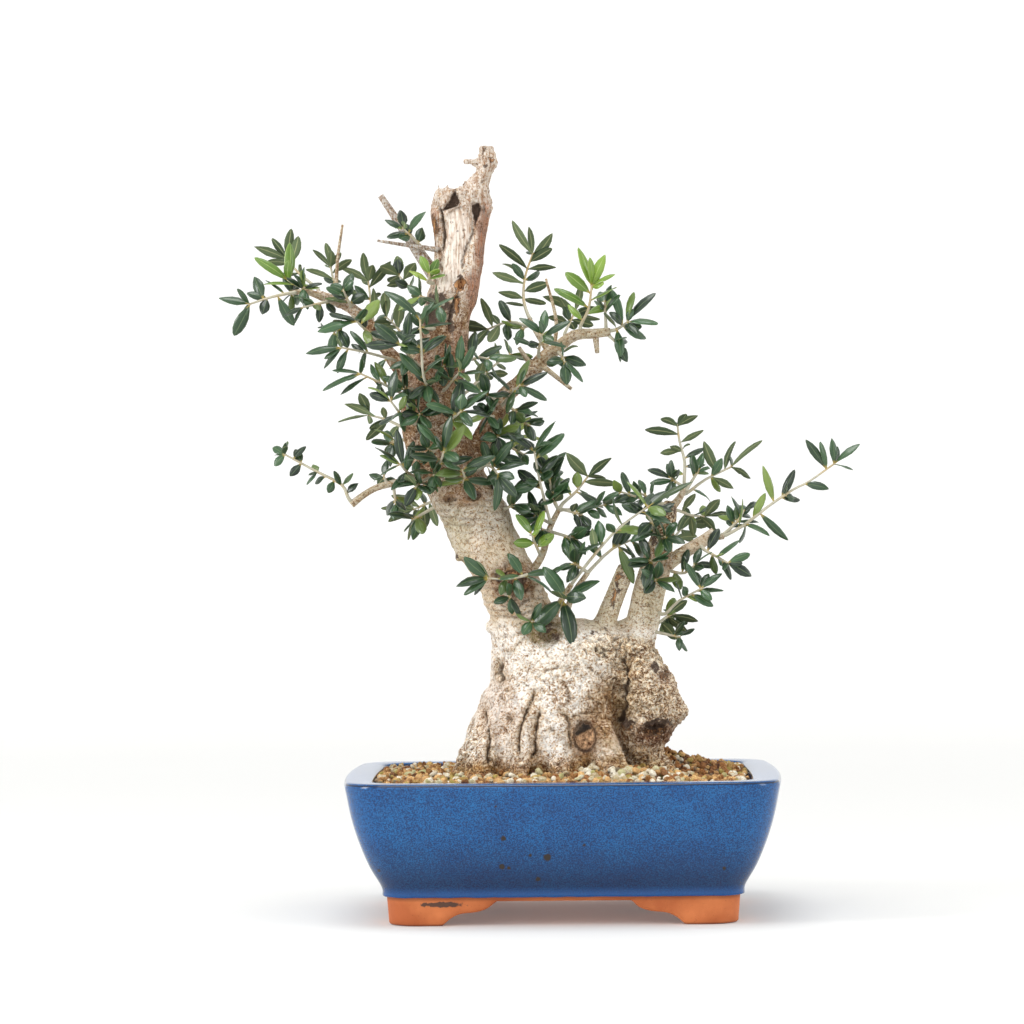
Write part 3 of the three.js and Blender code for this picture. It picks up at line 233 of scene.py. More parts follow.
def make_glaze():
    made, tree, place = new_material("cobalt_glaze")
    spot = add(tree, "SeparateXYZ", {0: place}).outputs
    grain = add(tree, "TexNoise", {"Vector": place, "Scale": 1000 / 0.8, "Detail": 2, "Roughness": 0.7})
    grain = add(tree, "MapRange", {0: grain, 1: 0.42, 2: 0.62})
    cloud = add(tree, "TexNoise", {"Vector": place, "Scale": 1000 / 26, "Detail": 3, "Roughness": 0.6})
    cloud = add(tree, "MapRange", {0: cloud, 1: 0.35, 2: 0.65})
    deep = add(tree, "Mix", {0: cloud, 6: "#05305f", 7: "#07386c"})
    pale = add(tree, "Mix", {0: cloud, 6: "#0e5ea2", 7: "#176dae"})
    colour = add(tree, "Mix", {0: grain, 6: deep, 7: pale})
    # the blue drawn darker down the wall and lighter in a band along its lower edge
    for low, high, share, tint in ((0.055, 0.027, 0.68, "#041a3d"), (0.0235, 0.019, 0.6, "#0a5298")):
        height_band = add(tree, "MapRange", {0: spot[2], 1: low, 2: high, 4: share})
        colour = add(tree, "Mix", {0: height_band, 6: colour, 7: tint})
    slope = add(tree, "SeparateXYZ", {0: add(tree, "NewGeometry").outputs["Normal"]}).outputs[2]
    off = add(tree, "Math", {0: slope, 1: 0.5}, operation="SUBTRACT")
    off = add(tree, "Math", {0: off}, operation="ABSOLUTE")
    off = add(tree, "MapRange", {0: off, 1: 0.4, 2: 0.1})
    at_rim = add(tree, "MapRange", {0: spot[2], 1: 0.084, 2: 0.0848})
    worn = add(tree, "Math", {0: off, 1: at_rim}, operation="MULTIPLY")
    colour = add(tree, "Mix", {0: worn, 6: colour, 7: "#1d2233"})
    jag = add(tree, "TexNoise", {"Vector": place, "Scale": 1000 / 1.5})
    front = add(tree, "MapRange", {0: spot[1], 1: -0.05, 2: -0.06})
    for x, z, radius in PINHOLES:
        at = in_frame((x, 0, z))
        flat = add(tree, "CombineXYZ", {0: spot[0], 1: float(at[1]), 2: spot[2]})
        away = add(tree, "VectorMath", {0: flat, 1: tuple(at)}, operation="DISTANCE")
        away = add(tree, "Math", {0: jag, 1: 1.6 * MM, 2: away}, operation="MULTIPLY_ADD")
        hole = add(tree, "MapRange", {0: away, 1: (radius + 1) * MM, 2: (radius + 0.4) * MM})
        hole = add(tree, "Math", {0: hole, 1: front}, operation="MULTIPLY")
        colour = add(tree, "Mix", {0: hole, 6: colour, 7: "#2b2118"})
    peel = add(tree, "TexNoise", {"Vector": place, "Scale": 1000 / 5, "Detail": 1})
    peel = add(tree, "Bump", {"Strength": 0.12, "Distance": 0.0003, "Height": peel})
    shader = add(tree, "BsdfPrincipled", {"Base Color": colour, "Roughness": 0.12, "IOR": 1.47,
                                          "Normal": peel})
    add(tree, "OutputMaterial", {0: shader})
    return made


# Unglazed terracotta stoneware: dull, orange, a little sandy, with painted shade in a band just
# under the glaze's overhanging edge, darker along the feet's bottom edge, and with a drip of
# scorched glaze on the front left foot.
SCORCH = {"middle": (-71, 0, 13), "half": (14, 1.8)}


def make_terracotta():
    made, tree, place = new_material("terracotta")
    spot = add(tree, "SeparateXYZ", {0: place}).outputs
    grit = add(tree, "TexNoise", {"Vector": place, "Scale": 1000 / 1.2, "Detail": 4, "Roughness": 0.7})
    cloud = add(tree, "TexNoise", {"Vector": place, "Scale": 1000 / 22, "Detail": 3})
    cloud = add(tree, "MapRange", {0: cloud, 1: 0.35, 2: 0.65})
    colour = add(tree, "Mix", {0: cloud, 6: "#b8602f", 7: "#d67c45"})
    speck = add(tree, "MapRange", {0: grit, 1: 0.6, 2: 0.7, 4: 0.45})
    colour = add(tree, "Mix", {0: speck, 6: colour, 7: "#8d4423"})
    # a band of painted shade just under the overhanging glaze, and the feet's bottom edge drawn darker
    for low, high, tint in ((0.0145, 0.0172, "#7c3f24"), (0.0018, 0, "#5d3324")):
        darker_band = add(tree, "MapRange", {0: spot[2], 1: low, 2: high, 4: 0.75})
        colour = add(tree, "Mix", {0: darker_band, 6: colour, 7: tint})
    *_, away = in_oval(tree, place, in_frame(SCORCH["middle"]), SCORCH["half"])
    jag = add(tree, "TexNoise", {"Vector": place, "Scale": 1000 / 3, "Detail": 3})
    away = add(tree, "Math", {0: jag, 1: 1.5, 2: away}, operation="MULTIPLY_ADD")
    drip = add(tree, "MapRange", {0: away, 1: 1.75, 2: 1.5, 4: 0.9})
    front = add(tree, "MapRange", {0: spot[1], 1: -0.05, 2: -0.06})
    drip = add(tree, "Math", {0: drip, 1: front}, operation="MULTIPLY")
    colour = add(tree, "Mix", {0: drip, 6: colour, 7: "#3a322d"})
    rough = add(tree, "Bump", {"Strength": 0.35, "Distance": 0.0004, "Height": grit})
    shader = add(tree, "BsdfPrincipled", {"Base Color": colour, "Roughness": 0.72, "IOR": 1.5,
                                          "Normal": rough})
    add(tree, "OutputMaterial", {0: shader})
    return made


# The foot ring from the floor down its inside and, round the lower edge, up its outside: inset,
# share of the way up from the arched edge, and lift where that edge is rounded.
inner = FOOT["inset"] + FOOT["wall"]
INSIDE = [(inner, 1, 0), (inner, 0.5, 0), (inner, 0, 1), (inner - 0.7, 0, 0.3), (inner - 1.7, 0, 0)]
OUTSIDE = [(30.5, 0, 0), (29.1, 0, 0.3), (28.3, 0, 1.2), (27.9, 0.35, 0), (27.4, 0.7, 0), (27, 0.93, 0)]
foot_rings = [foot_ring(inset, FOOT["floor"], share, lift) for inset, share, lift in INSIDE]
foot_rings += [foot_ring(inset, FOOT["top"], share, lift) for inset, share, lift in OUTSIDE]
foot_rings.append(level_ring(FOOT["top"] - 0.1, 26.5, 0.25))
glaze_rings = [level_ring(FOOT["top"], 25.1, 0.3), level_ring(FOOT["top"] + 0.2, 24.4, 0.3)]
glaze_rings += [level_ring(height, inset) for height, inset in [*eased(WALL, 5), *LIP]]
bm = bmesh.new()
loft(bm, [*map(in_frame, foot_rings + glaze_rings)])
ring_layer = bm.verts.layers.int["ring"]
for face in bm.faces:
    of_foot = max(vert[ring_layer] for vert in face.verts) < len(foot_rings)
    underside = len(face.verts) > 4 and face.calc_center_median().z < DRAIN["z"] * MM
    face.material_index = int(of_foot or underside)
bmesh.ops.recalc_face_normals(bm, faces=bm.faces)
pot = new_object("pot_body", bm, make_glaze(), make_terracotta())
radius = DRAIN["radius"] * MM
for x in (-DRAIN["x"], DRAIN["x"]):
    bm = bmesh.new()
    at = Matrix.Translation(in_frame((x, 0, DRAIN["z"])))
    bmesh.ops.create_cone(bm, cap_ends=True, segments=48, radius1=radius, radius2=radius,
                          depth=DRAIN["depth"] * MM, matrix=at)
    drill = new_object("drill", bm)
    cut = pot.modifiers.new("drain", "BOOLEAN")
    cut.object = drill
    apply_modifiers(pot)
    bpy.data.objects.remove(drill)
pot.data.set_sharp_from_angle(angle=radians(50))
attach(pot, "root")
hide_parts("pot")

# ---- The drainage screens ----
# Squares of moulded plastic mesh that lie over the drainage holes, under the soil, so that
# water runs out and the soil doesn't.


# Moulded polypropylene, filled black: matt, with a grain that is drawn 0.8 mm coarse.
def make_screen_plastic():
    made, tree, place = new_material("moulded_polypropylene")
    grain = add(tree, "TexNoise", {"Vector": place, "Scale": 1000 / 0.8, "Detail": 3})
    colour = add(tree, "Mix", {0: grain, 6: "#17191a", 7: "#26292a"})
    rough = add(tree, "Bump", {"Strength": 0.2, "Distance": 0.0001, "Height": grain})
    shader = add(tree, "BsdfPrincipled", {"Base Color": colour, "Roughness": 0.5,
                                          "Normal": rough})
    add(tree, "OutputMaterial", {0: shader})
    return made


screen_plastic = make_screen_plastic()
for name in ("screen_left", "screen_right"):
    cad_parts[name].material_slots[0].material = screen_plastic

# ---- The wood ----
# An old collected olive: a swollen stump with root ridges and a lobe on its right, a leaning trunk
# whose top died and broke, two stems cut back on the right and the woody branches. It grew as one
# piece. Everything thick is fused from its rough forms and then wrinkled, cracked and rotted.

# Stacks of level ovals: height, left edge, right edge, middle in depth, half depth.
STUMP = [
    [62, -50, 28, 2, 32], [88, -64, 37, 2, 44], [104, -62, 37, 2, 45], [122, -55, 37, 2, 44],
    [132, -51, 39, 2, 43], [142, -46, 42, 2, 41], [153, -45, 44, 2, 39], [163, -44, 42.5, 2, 36],
    [171, -41, 37, 2, 31], [176, -36, 26, 2, 24], [179.5, -26, 12, 2, 14],
]
RIGHT_LOBE = [
    [88, 38, 54, -4, 16], [104, 34, 63, -4, 24], [113, 33, 67, -4, 27], [121.5, 30, 74, -4, 29],
    [131, 28, 71, -4, 30], [143, 26, 66.5, -3, 30], [156, 24, 57, -2, 26], [165, 24, 52, 0, 23],
    [171, 27, 46, 0, 16],
]
TRUNK = [
    [155, -44, 3, 0, 29], [180, -45, -3, -2, 24], [190, -49, -8, -3, 22], [200, -52, -13, -4, 21],
    [211, -59, -17.5, -4, 20.5], [222, -67, -23, -4, 20], [236, -73, -29.5, -4, 20],
    [250, -80, -35, -3, 19.5], [262, -85, -44, -2, 19], [275, -92.5, -51, -1, 19],
    [290, -97, -57, 0, 18], [310, -98, -62, 1, 17.5], [330, -95, -60, 1, 16.5],
    [345, -88, -57, 1, 15.5], [362, -85, -56, 1, 15], [376, -83, -51, 0, 15],
    [392, -78, -48.5, 0, 14.5], [412, -77, -45.5, 0, 14], [431, -79.5, -42.5, 0, 13.5],
    [443, -76, -44, 0, 11],
]
SPIKE = [
    [428, -58, -43, -1, 9], [440, -59.5, -43, -1, 8.5], [447, -57, -43, -1, 7], [453, -52, -41, -1, 6],
    [460, -50, -38.5, -1, 5.5], [469.5, -49, -40.5, -1, 3.8],
]
# Rods: points on the middle line, each with its radius.
ROOTS = [
    [[-44, -12, 124, 6], [-55, -18, 100, 8], [-64, -22, 72, 8]],
    [[-40, -26, 116, 7], [-50, -34, 92, 9], [-58, -42, 70, 8]],
    [[-21, -37, 134, 3], [-26, -40.5, 116, 5], [-26, -43.5, 96, 5.5], [-31, -50, 74, 5]],
    [[-6, -36, 108, 6], [-3, -42, 90, 7.5], [0, -50, 70, 7]],
    [[20, -30, 116, 8], [27, -37, 94, 9], [36, -46, 70, 7]],
    [[42, -10, 106, 9], [58, -16, 88, 8], [76, -20, 70, 5]],
    [[26, 28, 114, 8], [38, 39, 92, 9], [52, 52, 70, 7]],
    [[-8, 38, 118, 7], [-7, 44, 94, 9], [-4, 54, 70, 7]],
    [[-36, 27, 118, 8], [-46, 35, 94, 9], [-58, 46, 70, 7]],
]
LIMBS = {
    "cut stub": [[19, -2, 160, 8], [24, -2, 174, 7], [31, -2, 192, 6], [39, -2, 211, 5.6]],
    "second stem": [[42, 2, 156, 11], [48, 2, 176, 10.2], [52, 2, 194, 10], [57, 2, 212, 9.4],
                    [60, 2, 226, 7.4], [64, 2, 240, 5.8], [66, 2, 251, 4]],
    "right cut branch": [[54, -2, 204, 5], [70, -6, 217, 4.4], [85, -8, 226, 4], [93, -9, 231.5, 3.8]],
    "nub": [[-58.5, -1, 460.5, 1.9], [-53.5, -1, 459.5, 2.1], [-47, -1, 459, 2.6]],
    "upper left": [[-90, 2, 326, 7], [-100, 4, 336, 5.2], [-107, 5, 345, 4.4], [-118, 6, 360, 4],
                   [-130, 6, 372, 3.6], [-140, 6, 376, 3.2], [-151, 5, 381, 3]],
    "upper right": [[-60, 4, 268, 9], [-51, 5, 285, 7.2], [-43, 6, 302, 6.2], [-33, 6, 318, 5.6],
                    [-22, 5, 328, 5], [-12, 4, 338, 4.6], [-3, 3, 345, 4], [8, 2, 353, 3.6],
                    [20, 2, 354, 3.2], [30.5, 1, 355, 2.9]],
}
THIN_LIMBS = {
    "right cut branch spur": [[82, -8, 224, 2.4], [92, -9.5, 228, 1.9], [98, -9, 229, 1.7]],
    "low left": [[-84, -4, 266, 3.4], [-100, -6, 264, 2.3], [-113, -8, 261, 2], [-122, -10, 256, 2],
                 [-129, -10, 250.5, 2.3]],
    "upper left end": [[-146, 5, 378, 2.4], [-156, 2, 381.5, 1.8], [-164, -1, 381, 1.4]],
    "grey jin": [[-74, 2, 386, 5], [-83, 2, 399, 4], [-97, 3, 420, 2.7], [-110, 4, 440, 1.9]],
    "dead twig": [[-74, -3, 406, 1.8], [-94, -4, 409, 1.2], [-112, -4, 412, 0.8]],
    "spiny twig": [[-138, 7, 376, 1.5], [-138, 9, 390, 1.2], [-137, 10, 404, 1], [-134, 10, 423, 0.7]],
    "upper right peg": [[21, 2, 353, 2], [22, 1, 342, 1.3]],
    "dead shoot a": [[-5, 3, 343, 1.4], [-3, 3, 362, 1.1], [-9, 4, 388, 0.7]],
    "dead shoot b": [[-14, 4, 336, 2.2], [-8, 0, 331.5, 1.6], [6, -2, 320, 1.1]],
    "spur": [[-17, 4, 333, 2], [-22, 1, 340, 1.5], [-26, 0, 346, 1.1]],
    "middle shoot": [[-26, -4, 203, 3], [-17, -8, 212, 2.4], [-12, -8, 221, 2.1], [-8, -8, 235, 1.8],
                     [-2, -6, 247, 1.5]],
    "top fork": [[-6, 4, 341, 2.4], [-13, 5, 352, 1.9], [-20, 5, 364, 1.5]],
    "stem fork": [[64, 2, 244, 3], [71, 2, 252, 2.2], [75, 2, 259, 1.7]],
    "crotch shoot a": [[-8, -16, 172, 2.4], [-3, -20, 188, 2], [5, -21, 201, 1.6]],
    "crotch shoot b": [[-1, -12, 172, 2.2], [5, -15, 193, 1.8], [15, -16, 208, 1.5]],
    "back limb": [[-74, 10, 262, 5], [-76, 30, 276, 3.4], [-84, 42, 292, 2.2]],
    "back limb high": [[-84, 10, 318, 4.5], [-88, 24, 332, 3], [-94, 36, 348, 2]],
}
# Swellings and hollows: middle, then half width, half depth and half height.
KNOBS = [
    [-30, -20, 205, 8, 6, 9], [-61.5, -18, 258, 3, 6, 8], [-45, -2, 175, 3.5, 8, 4],
    [-63.8, -9, 217.5, 3, 4, 2.8], [-43, -8, 430.5, 2.5, 4, 3], [70, -6, 122, 5, 8, 5],
    [13, -10, 173, 7, 8, 5], [38, 4, 172, 8, 8, 7],
]
KNOT = [12.2, -43, 109.3, 6.2, 6, 8.5]
HOLLOWS = [
    KNOT, [39, -33, 115, 6, 8, 3.4], [56, -30, 112.5, 10, 9, 3.2], [56, -31, 149, 4, 6, 6],
    [-8, -29, 171, 7, 7, 5.5], [-61, -14.5, 384, 3, 5, 4], [-69, -18.5, 253.5, 3.4, 3, 2],
    [-54, -18, 255.5, 4.6, 5, 3.4],
]
# Two wedges that rotted out of the dead top, as they look from the front.
WEDGES = [[[-73, 430], [-68.5, 437], [-64.5, 444], [-60.5, 436], [-62.5, 432.5], [-68.5, 430.5]],
          [[-55, 434.5], [-49.5, 435.5], [-48, 431], [-52, 420], [-54, 427.5]]]
WEDGE_DEPTH = 7
SPLINTERS = [
    [[-75.5, -2, 436, 2.6], [-74, -2, 446.5, 0.6]], [[-69, -6, 436, 2.6], [-68.5, -5, 447, 0.6]],
    [[-62, -3, 438, 2.6], [-61, -1, 446.5, 0.6]], [[-70, 7, 436, 2.6], [-72, 7, 445, 0.6]],
    [[-60, 7, 438, 2.6], [-58, 6, 449, 0.6]],
]
# Cracks as they look from the front, on the plane through the pot's middle: width, depth, points.
CRACKS = [
    [1.1, 1.6, [-4, 125], [0, 120], [2.5, 116], [2.5, 110], [5, 104], [3, 98]],
    [0.7, 0.8, [2.5, 116], [6, 119], [12, 121], [16, 121], [19, 125]],
    [0.7, 0.8, [-1, 124], [3.5, 130], [2, 136], [-2, 141]],
    [0.6, 0.7, [13, 133], [20, 128], [24, 121]],
    [0.8, 1, [16.7, 116], [22.8, 111], [25, 106]],
    [1.3, 2.6, [-17, 138], [-20, 130], [-24.5, 119], [-28.5, 110], [-30, 102], [-27.5, 93]],
    [1.3, 2.4, [-15, 125], [-17, 118], [-18.5, 110], [-18, 100], [-22, 90]],
    [1.5, 3, [-52, 131], [-50, 122], [-49, 114], [-46, 105], [-47, 96], [-45.5, 86]],
    [1.6, 1.6, [-40, 155], [-41, 147], [-38, 143.5], [-42, 139]],
    [1, 1, [-34.9, 138], [-34.9, 134.5]],
    [1.6, 1.2, [-35.5, 119], [-32.5, 117.5]],
    [0.6, 0.7, [-13, 112], [-8, 111], [-3, 107]],
    [2.4, 3, [32, 161], [37, 150.5], [37.5, 142.5], [35, 134.5], [36.5, 126], [34.5, 118], [32, 112]],
    [1, 1.2, [19, 160], [25.5, 156], [32.5, 152.5], [37.5, 147.5]],
    [0.7, 0.9, [12, 150.5], [19, 147.5], [25.5, 140.5], [31.5, 134.5]],
    [0.8, 0.9, [-18.5, 142.5], [-10, 148], [-4, 149.5], [3, 147]],
    [0.7, 0.7, [-38.7, 159], [-31.5, 160], [-27.5, 165], [-22, 168]],
    [0.6, 0.6, [-44, 167.5], [-31.5, 169.5], [-20, 172]],
    [0.6, 0.6, [-44, 174], [-29.5, 176], [-16, 182]],
    [0.8, 0.8, [-46, 182], [-27.5, 181], [-14, 187]],
    [0.8, 0.9, [-44, 189], [-30, 186], [-18, 194]],
    [0.8, 0.9, [-40, 194], [-30, 191], [-20, 199]],
    [2.4, 4.5, [-78, 435], [-74.5, 429], [-74, 422], [-73.5, 412], [-75, 403]],
    [1.5, 3.4, [-76, 405], [-76.3, 398], [-75.6, 390]],
    [0.9, 1.6, [-53, 426], [-53.5, 416], [-57, 407], [-60, 400], [-58.5, 396], [-61, 390]],
    [1.3, 2.4, [-60, 379], [-65.5, 375], [-68, 366], [-69, 354]],
    [0.7, 0.8, [-46, 436], [-46.5, 428]],
]
# The strip where the bark of the dead top has peeled off.
PEELED = [[-68, 428.5], [-62.5, 432], [-57, 430], [-54, 424.5], [-54, 416], [-57.2, 407.5], [-60.3, 400],
          [-61.6, 389], [-66, 383], [-73.5, 379.5], [-79, 381.5], [-75.8, 389], [-72.8, 400], [-73.3, 407.5],
          [-71.4, 418.5], [-69.5, 424.5]]
EYE = np.array([11.8, -2390, 252.6])  # where the tree is seen from, and its marks are laid out
TREE = MIDDLE + (1.5 * MM, 0, 0)  # the tree stands a little right of the pot's middle
FUSED = 1.24  # the fineness of the fused wood: finer than this, it is too many faces for one piece


def on_tree(points):
    """Points laid out in millimetres from the tree's own upright line, in the frame's metres."""
    return np.asarray(points, float) * MM + TREE


def rod_rings(rod, sides, steps=3):
    """Rings round a rod's middle line, square to it."""
    path = eased(rod, steps)
    along = np.gradient(path[:, :3], axis=0)
    along /= np.linalg.norm(along, axis=1)[:, None]
    across = np.array([0, 1, 0]) if abs(along[0][1]) < 0.8 else np.array([1, 0, 0])
    turn = np.arange(sides)[:, None] * 2 * pi / sides
    rings = []
    for point, way in zip(path, along):
        across = across - way * (across @ way)
        across = across / np.linalg.norm(across)
        reach = np.cos(turn) * across + np.sin(turn) * np.cross(way, across)
        rings.append(point[:3] + point[3] * reach)
    return rings


def oval_rings(rows, sides, swell):
    """Level rings of a stack of ovals; three swells show on the front and back, none at the sides."""
    turn = np.arange(sides) * 2 * pi / sides
    rings = []
    for height, left, right, middle, half_depth in eased(rows, 4):
        deep = half_depth * (1 + swell * np.sin(3 * turn + 0.11 * height) * np.abs(np.sin(turn)))
        rings.append(np.column_stack([(left + right) / 2 + (right - left) / 2 * np.cos(turn),
                                      middle + deep * np.sin(turn),
                                      np.full(sides, height)]))
    return rings


def smooth_step(values, start, end):
    """0 up to the start and 1 from the end on, with a soft rise between them."""
    share = np.clip((values - start) / (end - start), 0, 1)
    return share * share * (3 - 2 * share)


def read(mesh, what="co"):
    """A mesh's places or normals, one row for each vertex."""
    values = np.empty(len(mesh.vertices) * 3, np.float32)
    mesh.vertices.foreach_get(what, values)
    return values.reshape(-1, 3).astype(float)


def write(mesh, points):
    """Moves a mesh's vertices to points laid out in the tree's millimetres."""
    mesh.vertices.foreach_set("co", on_tree(points).astype(np.float32).ravel())
    mesh.update()


def lumps(points, size, seed=0, octaves=3, rough=0.8):
    """Noise from about -1 to 1 in lumps of a size in millimetres, alike or for each direction."""
    scaled = points / np.asarray(size, float) + seed
    return np.array([noise.fractal(point, rough, 2, octaves) for point in scaled.tolist()])


def crazing(points, size, seed=0):
    """How far each point lies from the edges of a network of cells, as a share of a cell."""
    scaled = points / np.asarray(size, float) + seed
    near = [noise.voronoi(point)[0] for point in scaled.tolist()]
    return np.array([second - first for first, second, *_ in near])


def from_front(points):
    """Where points lie as they look from the front, on the plane through the pot's middle."""
    scale = EYE[1] / (EYE[1] - points[:, 1:2])
    return EYE[[0, 2]] + (points[:, [0, 2]] - EYE[[0, 2]]) * scale


def away_from(spots, line):
    """Each spot's distance from a line of points and its share of the way along it."""
    line = np.asarray(line, float)
    best, share = np.full(len(spots), np.inf), np.zeros(len(spots))
    for i, (start, end) in enumerate(zip(line, line[1:])):
        run = end - start
        at = np.clip((spots - start) @ run / (run @ run), 0, 1)
        away = np.linalg.norm(spots - start - at[:, None] * run, axis=1)
        nearer = away < best
        best[nearer] = away[nearer]
        share[nearer] = (i + at[nearer]) / (len(line) - 1)
    return best, share


def within(spots, outline):
    """How deep each spot lies within an outline, in millimetres, and minus that outside it."""
    away, _ = away_from(spots, [*outline, outline[0]])
    inside = np.zeros(len(spots), bool)
    for (x0, z0), (x1, z1) in zip(outline, [*outline[1:], outline[0]]):
        crosses = (spots[:, 1] < z0) != (spots[:, 1] < z1)
        inside ^= crosses & (spots[:, 0] < x0 + (spots[:, 1] - z0) * (x1 - x0) / (z1 - z0 + 1e-9))
    return np.where(inside, away, -away)


def patch(spots, x, z, half_width, half_height, soft=0.5):
    """1 in the middle of an oval patch, falling off to 0 at its edge."""
    reach = np.hypot((spots[:, 0] - x) / half_width, (spots[:, 1] - z) / half_height)
    return 1 - smooth_step(reach, 1 - soft, 1 + soft)


bm = bmesh.new()
for rows, sides, swell in ((STUMP, 48, 0.045), (RIGHT_LOBE, 40, 0.045), (TRUNK, 40, 0.02), (SPIKE, 24, 0)):
    loft(bm, [*map(on_tree, oval_rings(rows, sides, swell))])
for rods, sides in (([*ROOTS, *LIMBS.values()], 20), (SPLINTERS, 8)):
    for rod in rods:
        loft(bm, [*map(on_tree, rod_rings(rod, sides))])
for x, y, z, a, b, c in KNOBS:
    at = Matrix.Translation(on_tree((x, y, z))) @ Matrix.Diagonal((a * MM, b * MM, c * MM, 1))
    bmesh.ops.create_icosphere(bm, subdivisions=3, radius=1, matrix=at)
bmesh.ops.recalc_face_normals(bm, faces=bm.faces)
wood = new_object("wood_grown", bm)
fuse = wood.modifiers.new("fuse", "REMESH")
fuse.mode = "VOXEL"
fuse.voxel_size = FUSED * MM
ease = wood.modifiers.new("ease", "SMOOTH")
ease.iterations = 8
apply_modifiers(wood)

# The rough forms: lumps, hollows, the peeled strip, the rotted notches and the long cracks. Each
# region of the wood is a weight from 0 to 1, and a relief is a height and a size in millimetres.
mesh = wood.data
points, normals = (read(mesh) - TREE) / MM, read(mesh, "normal")
x, y, z = points.T
seen = from_front(points)
front = smooth_step(-normals[:, 1], -0.1, 0.35)
stump = 1 - smooth_step(z, 166, 184)
stump[(z > 160) & (x > 16) & (y > -14) & (y < 14)] *= 0.3
lobe = smooth_step(x, 30, 38) * (1 - smooth_step(z, 160, 172))
dead = smooth_step(z, 366, 380) * (x < -38)
crust = smooth_step(z, 428, 434) * (x < -36)
trunk = smooth_step(z, 172, 186) * (x < -10) * (1 - dead)
rise = stump * (1.5 * lumps(points, 26) + 0.9 * lumps(points, 11, 5))
rise += lobe * (1.1 * lumps(points, 9, 2) + 0.7 * lumps(points, 4.5, 3))
rise += trunk * (1.2 * lumps(points, [16, 16, 40], 7) + 0.5 * lumps(points, [7, 7, 18], 8))
rise += dead * (0.8 * lumps(points, [6, 6, 26], 9)) + crust * 0.8 * lumps(points, [3.5, 3.5, 6], 4)
points += normals * rise[:, None]

mark = {name: np.zeros(len(points)) for name in ("crack_and_shade", "moss", "heart", "bare", "dark", "red", "fleck")}
for hollow in HOLLOWS:
    hx, hy, hz, a, b, c = hollow
    flat = ((points[:, 0] - hx) / a) ** 2 + ((points[:, 2] - hz) / c) ** 2
    floor_y = hy + b * np.sqrt(np.clip(1 - flat, 0, 1))
    inside = (flat < 1) & (normals[:, 1] < 0.2) & (points[:, 1] < floor_y) & (points[:, 1] > hy - 25)
    points[inside, 1] = floor_y[inside]
    lip = np.exp(-((np.sqrt(flat) - 1.25) / 0.2) ** 2) * front * (np.abs(points[:, 1] - hy) < 14)
    points[:, 1] -= lip * (1.1 if hollow is KNOT else 0.5)
peeled = within(seen + 0.5 * lumps(points, 4, 6)[:, None], PEELED) * (front > 0.3)
peeled[front <= 0.3] = -9
bare = smooth_step(peeled, -0.3, 0.7)
points += normals * (-0.9 * bare + 0.7 * smooth_step(peeled, -2.2, -0.2) * (1 - bare))[:, None]
mark["bare"] = bare
for outline in WEDGES:
    notch = smooth_step(within(seen, outline), -0.2, 1.2) * (normals[:, 1] < 0.3) * (y < 2)
    points[:, 1] += notch * WEDGE_DEPTH
    # the rotted notches are coloured dark: painted shade in them, and rot
    mark["dark"] = np.maximum(mark["dark"], notch)
wander = np.column_stack([lumps(points, 5, 11), lumps(points, 5, 12)]) * 1.1
stained = np.zeros(len(points))
for width, depth, *line in CRACKS:
    away, share = away_from(seen + wander, line)
    taper = np.clip(5 * np.minimum(share, 1 - share) + 0.35, 0, 1)
    cut = np.exp(-(away / width) ** 2) * taper * front
    stained = np.maximum(stained, np.exp(-(away / width / 3) ** 2) * taper * front * min(depth, 1))
    points -= normals * (cut * depth)[:, None]
    mark["crack_and_shade"] = np.maximum(mark["crack_and_shade"], smooth_step(cut, 0.55, 0.98) * (0.55 + 0.2 * depth))
write(mesh, points)

# The fine surface: bark that crazes and flakes on the stump, wrinkles on the trunk and splits
# along the grain of the dead top.
points, normals = (read(mesh) - TREE) / MM, read(mesh, "normal")
warp = np.column_stack([lumps(points, 7, seed) for seed in (21, 22, 23)]) * 2.6
flaky = np.clip(lumps(points, 22, 31) * 1.4 + 0.35, 0, 1) * stump
flaky = np.maximum(flaky, lobe * 0.9)
flaky = np.maximum(flaky, stump * front * patch(seen, 29, 133, 9, 20))
frills = patch(seen, 34, 160, 26, 11) * (x > 0)
frills = np.maximum(frills, 0.9 * patch(seen, 34, 138, 7, 16)) * stump
scar = trunk * patch(seen, -31, 202, 13, 12) * front
curl = np.abs(lumps(points + warp * 0.8, 6, 44, 1))
small_curl = np.abs(lumps(points + warp * 0.5, [3.8, 3.8, 5], 46, 1))
low = 1 - smooth_step(z + 4 * lumps(points, 9, 47), 90, 106)
net = crazing(points + warp, [6.5, 6.5, 9], 3)
plates = smooth_step(net, 0, 0.22)
craze = (1 - smooth_step(net, 0.02, 0.12)) * smooth_step(lumps(points, 15, 33), -0.15, 0.25)
small = crazing(points + warp, [3.2, 3.2, 3.8], 8)
chips = (1 - smooth_step(small, 0.02, 0.16)) * flaky
fine = 0.5 * flaky * (plates - 0.6) - 0.45 * craze * stump - 0.6 * chips
fine += 0.25 * stump * lumps(points, 2.2, 35)
grain = lumps(points, [1.6, 1.6, 16], 36)
fine += dead * (0.35 * grain + 0.2 * lumps(points, 1.8, 37))
ripple = np.sin(points[:, 2] * 1.5 + 0.09 * points[:, 0] + 2.2 * lumps(points, 14, 38))
wrinkled = 1 - smooth_step(z, 196, 215) + patch(seen, -58, 246, 24, 12)
fine += trunk * (0.3 * ripple * wrinkled + 0.28 * lumps(points, [2.6, 2.6, 5], 39))
limb = (1 - stump) * (1 - trunk) * (1 - dead)
fine += limb * 0.22 * lumps(points, [2, 2, 4], 40)
fine += crust * 0.5 * lumps(points, 2.6, 41)
fine += (2.2 * frills + 1.8 * scar) * (smooth_step(curl, 0, 0.3) - 0.5)
fine += np.maximum(1.1 * lobe, 1.2 * low) * (smooth_step(small_curl, 0, 0.25) - 0.5)
points += normals * fine[:, None]
write(mesh, points)
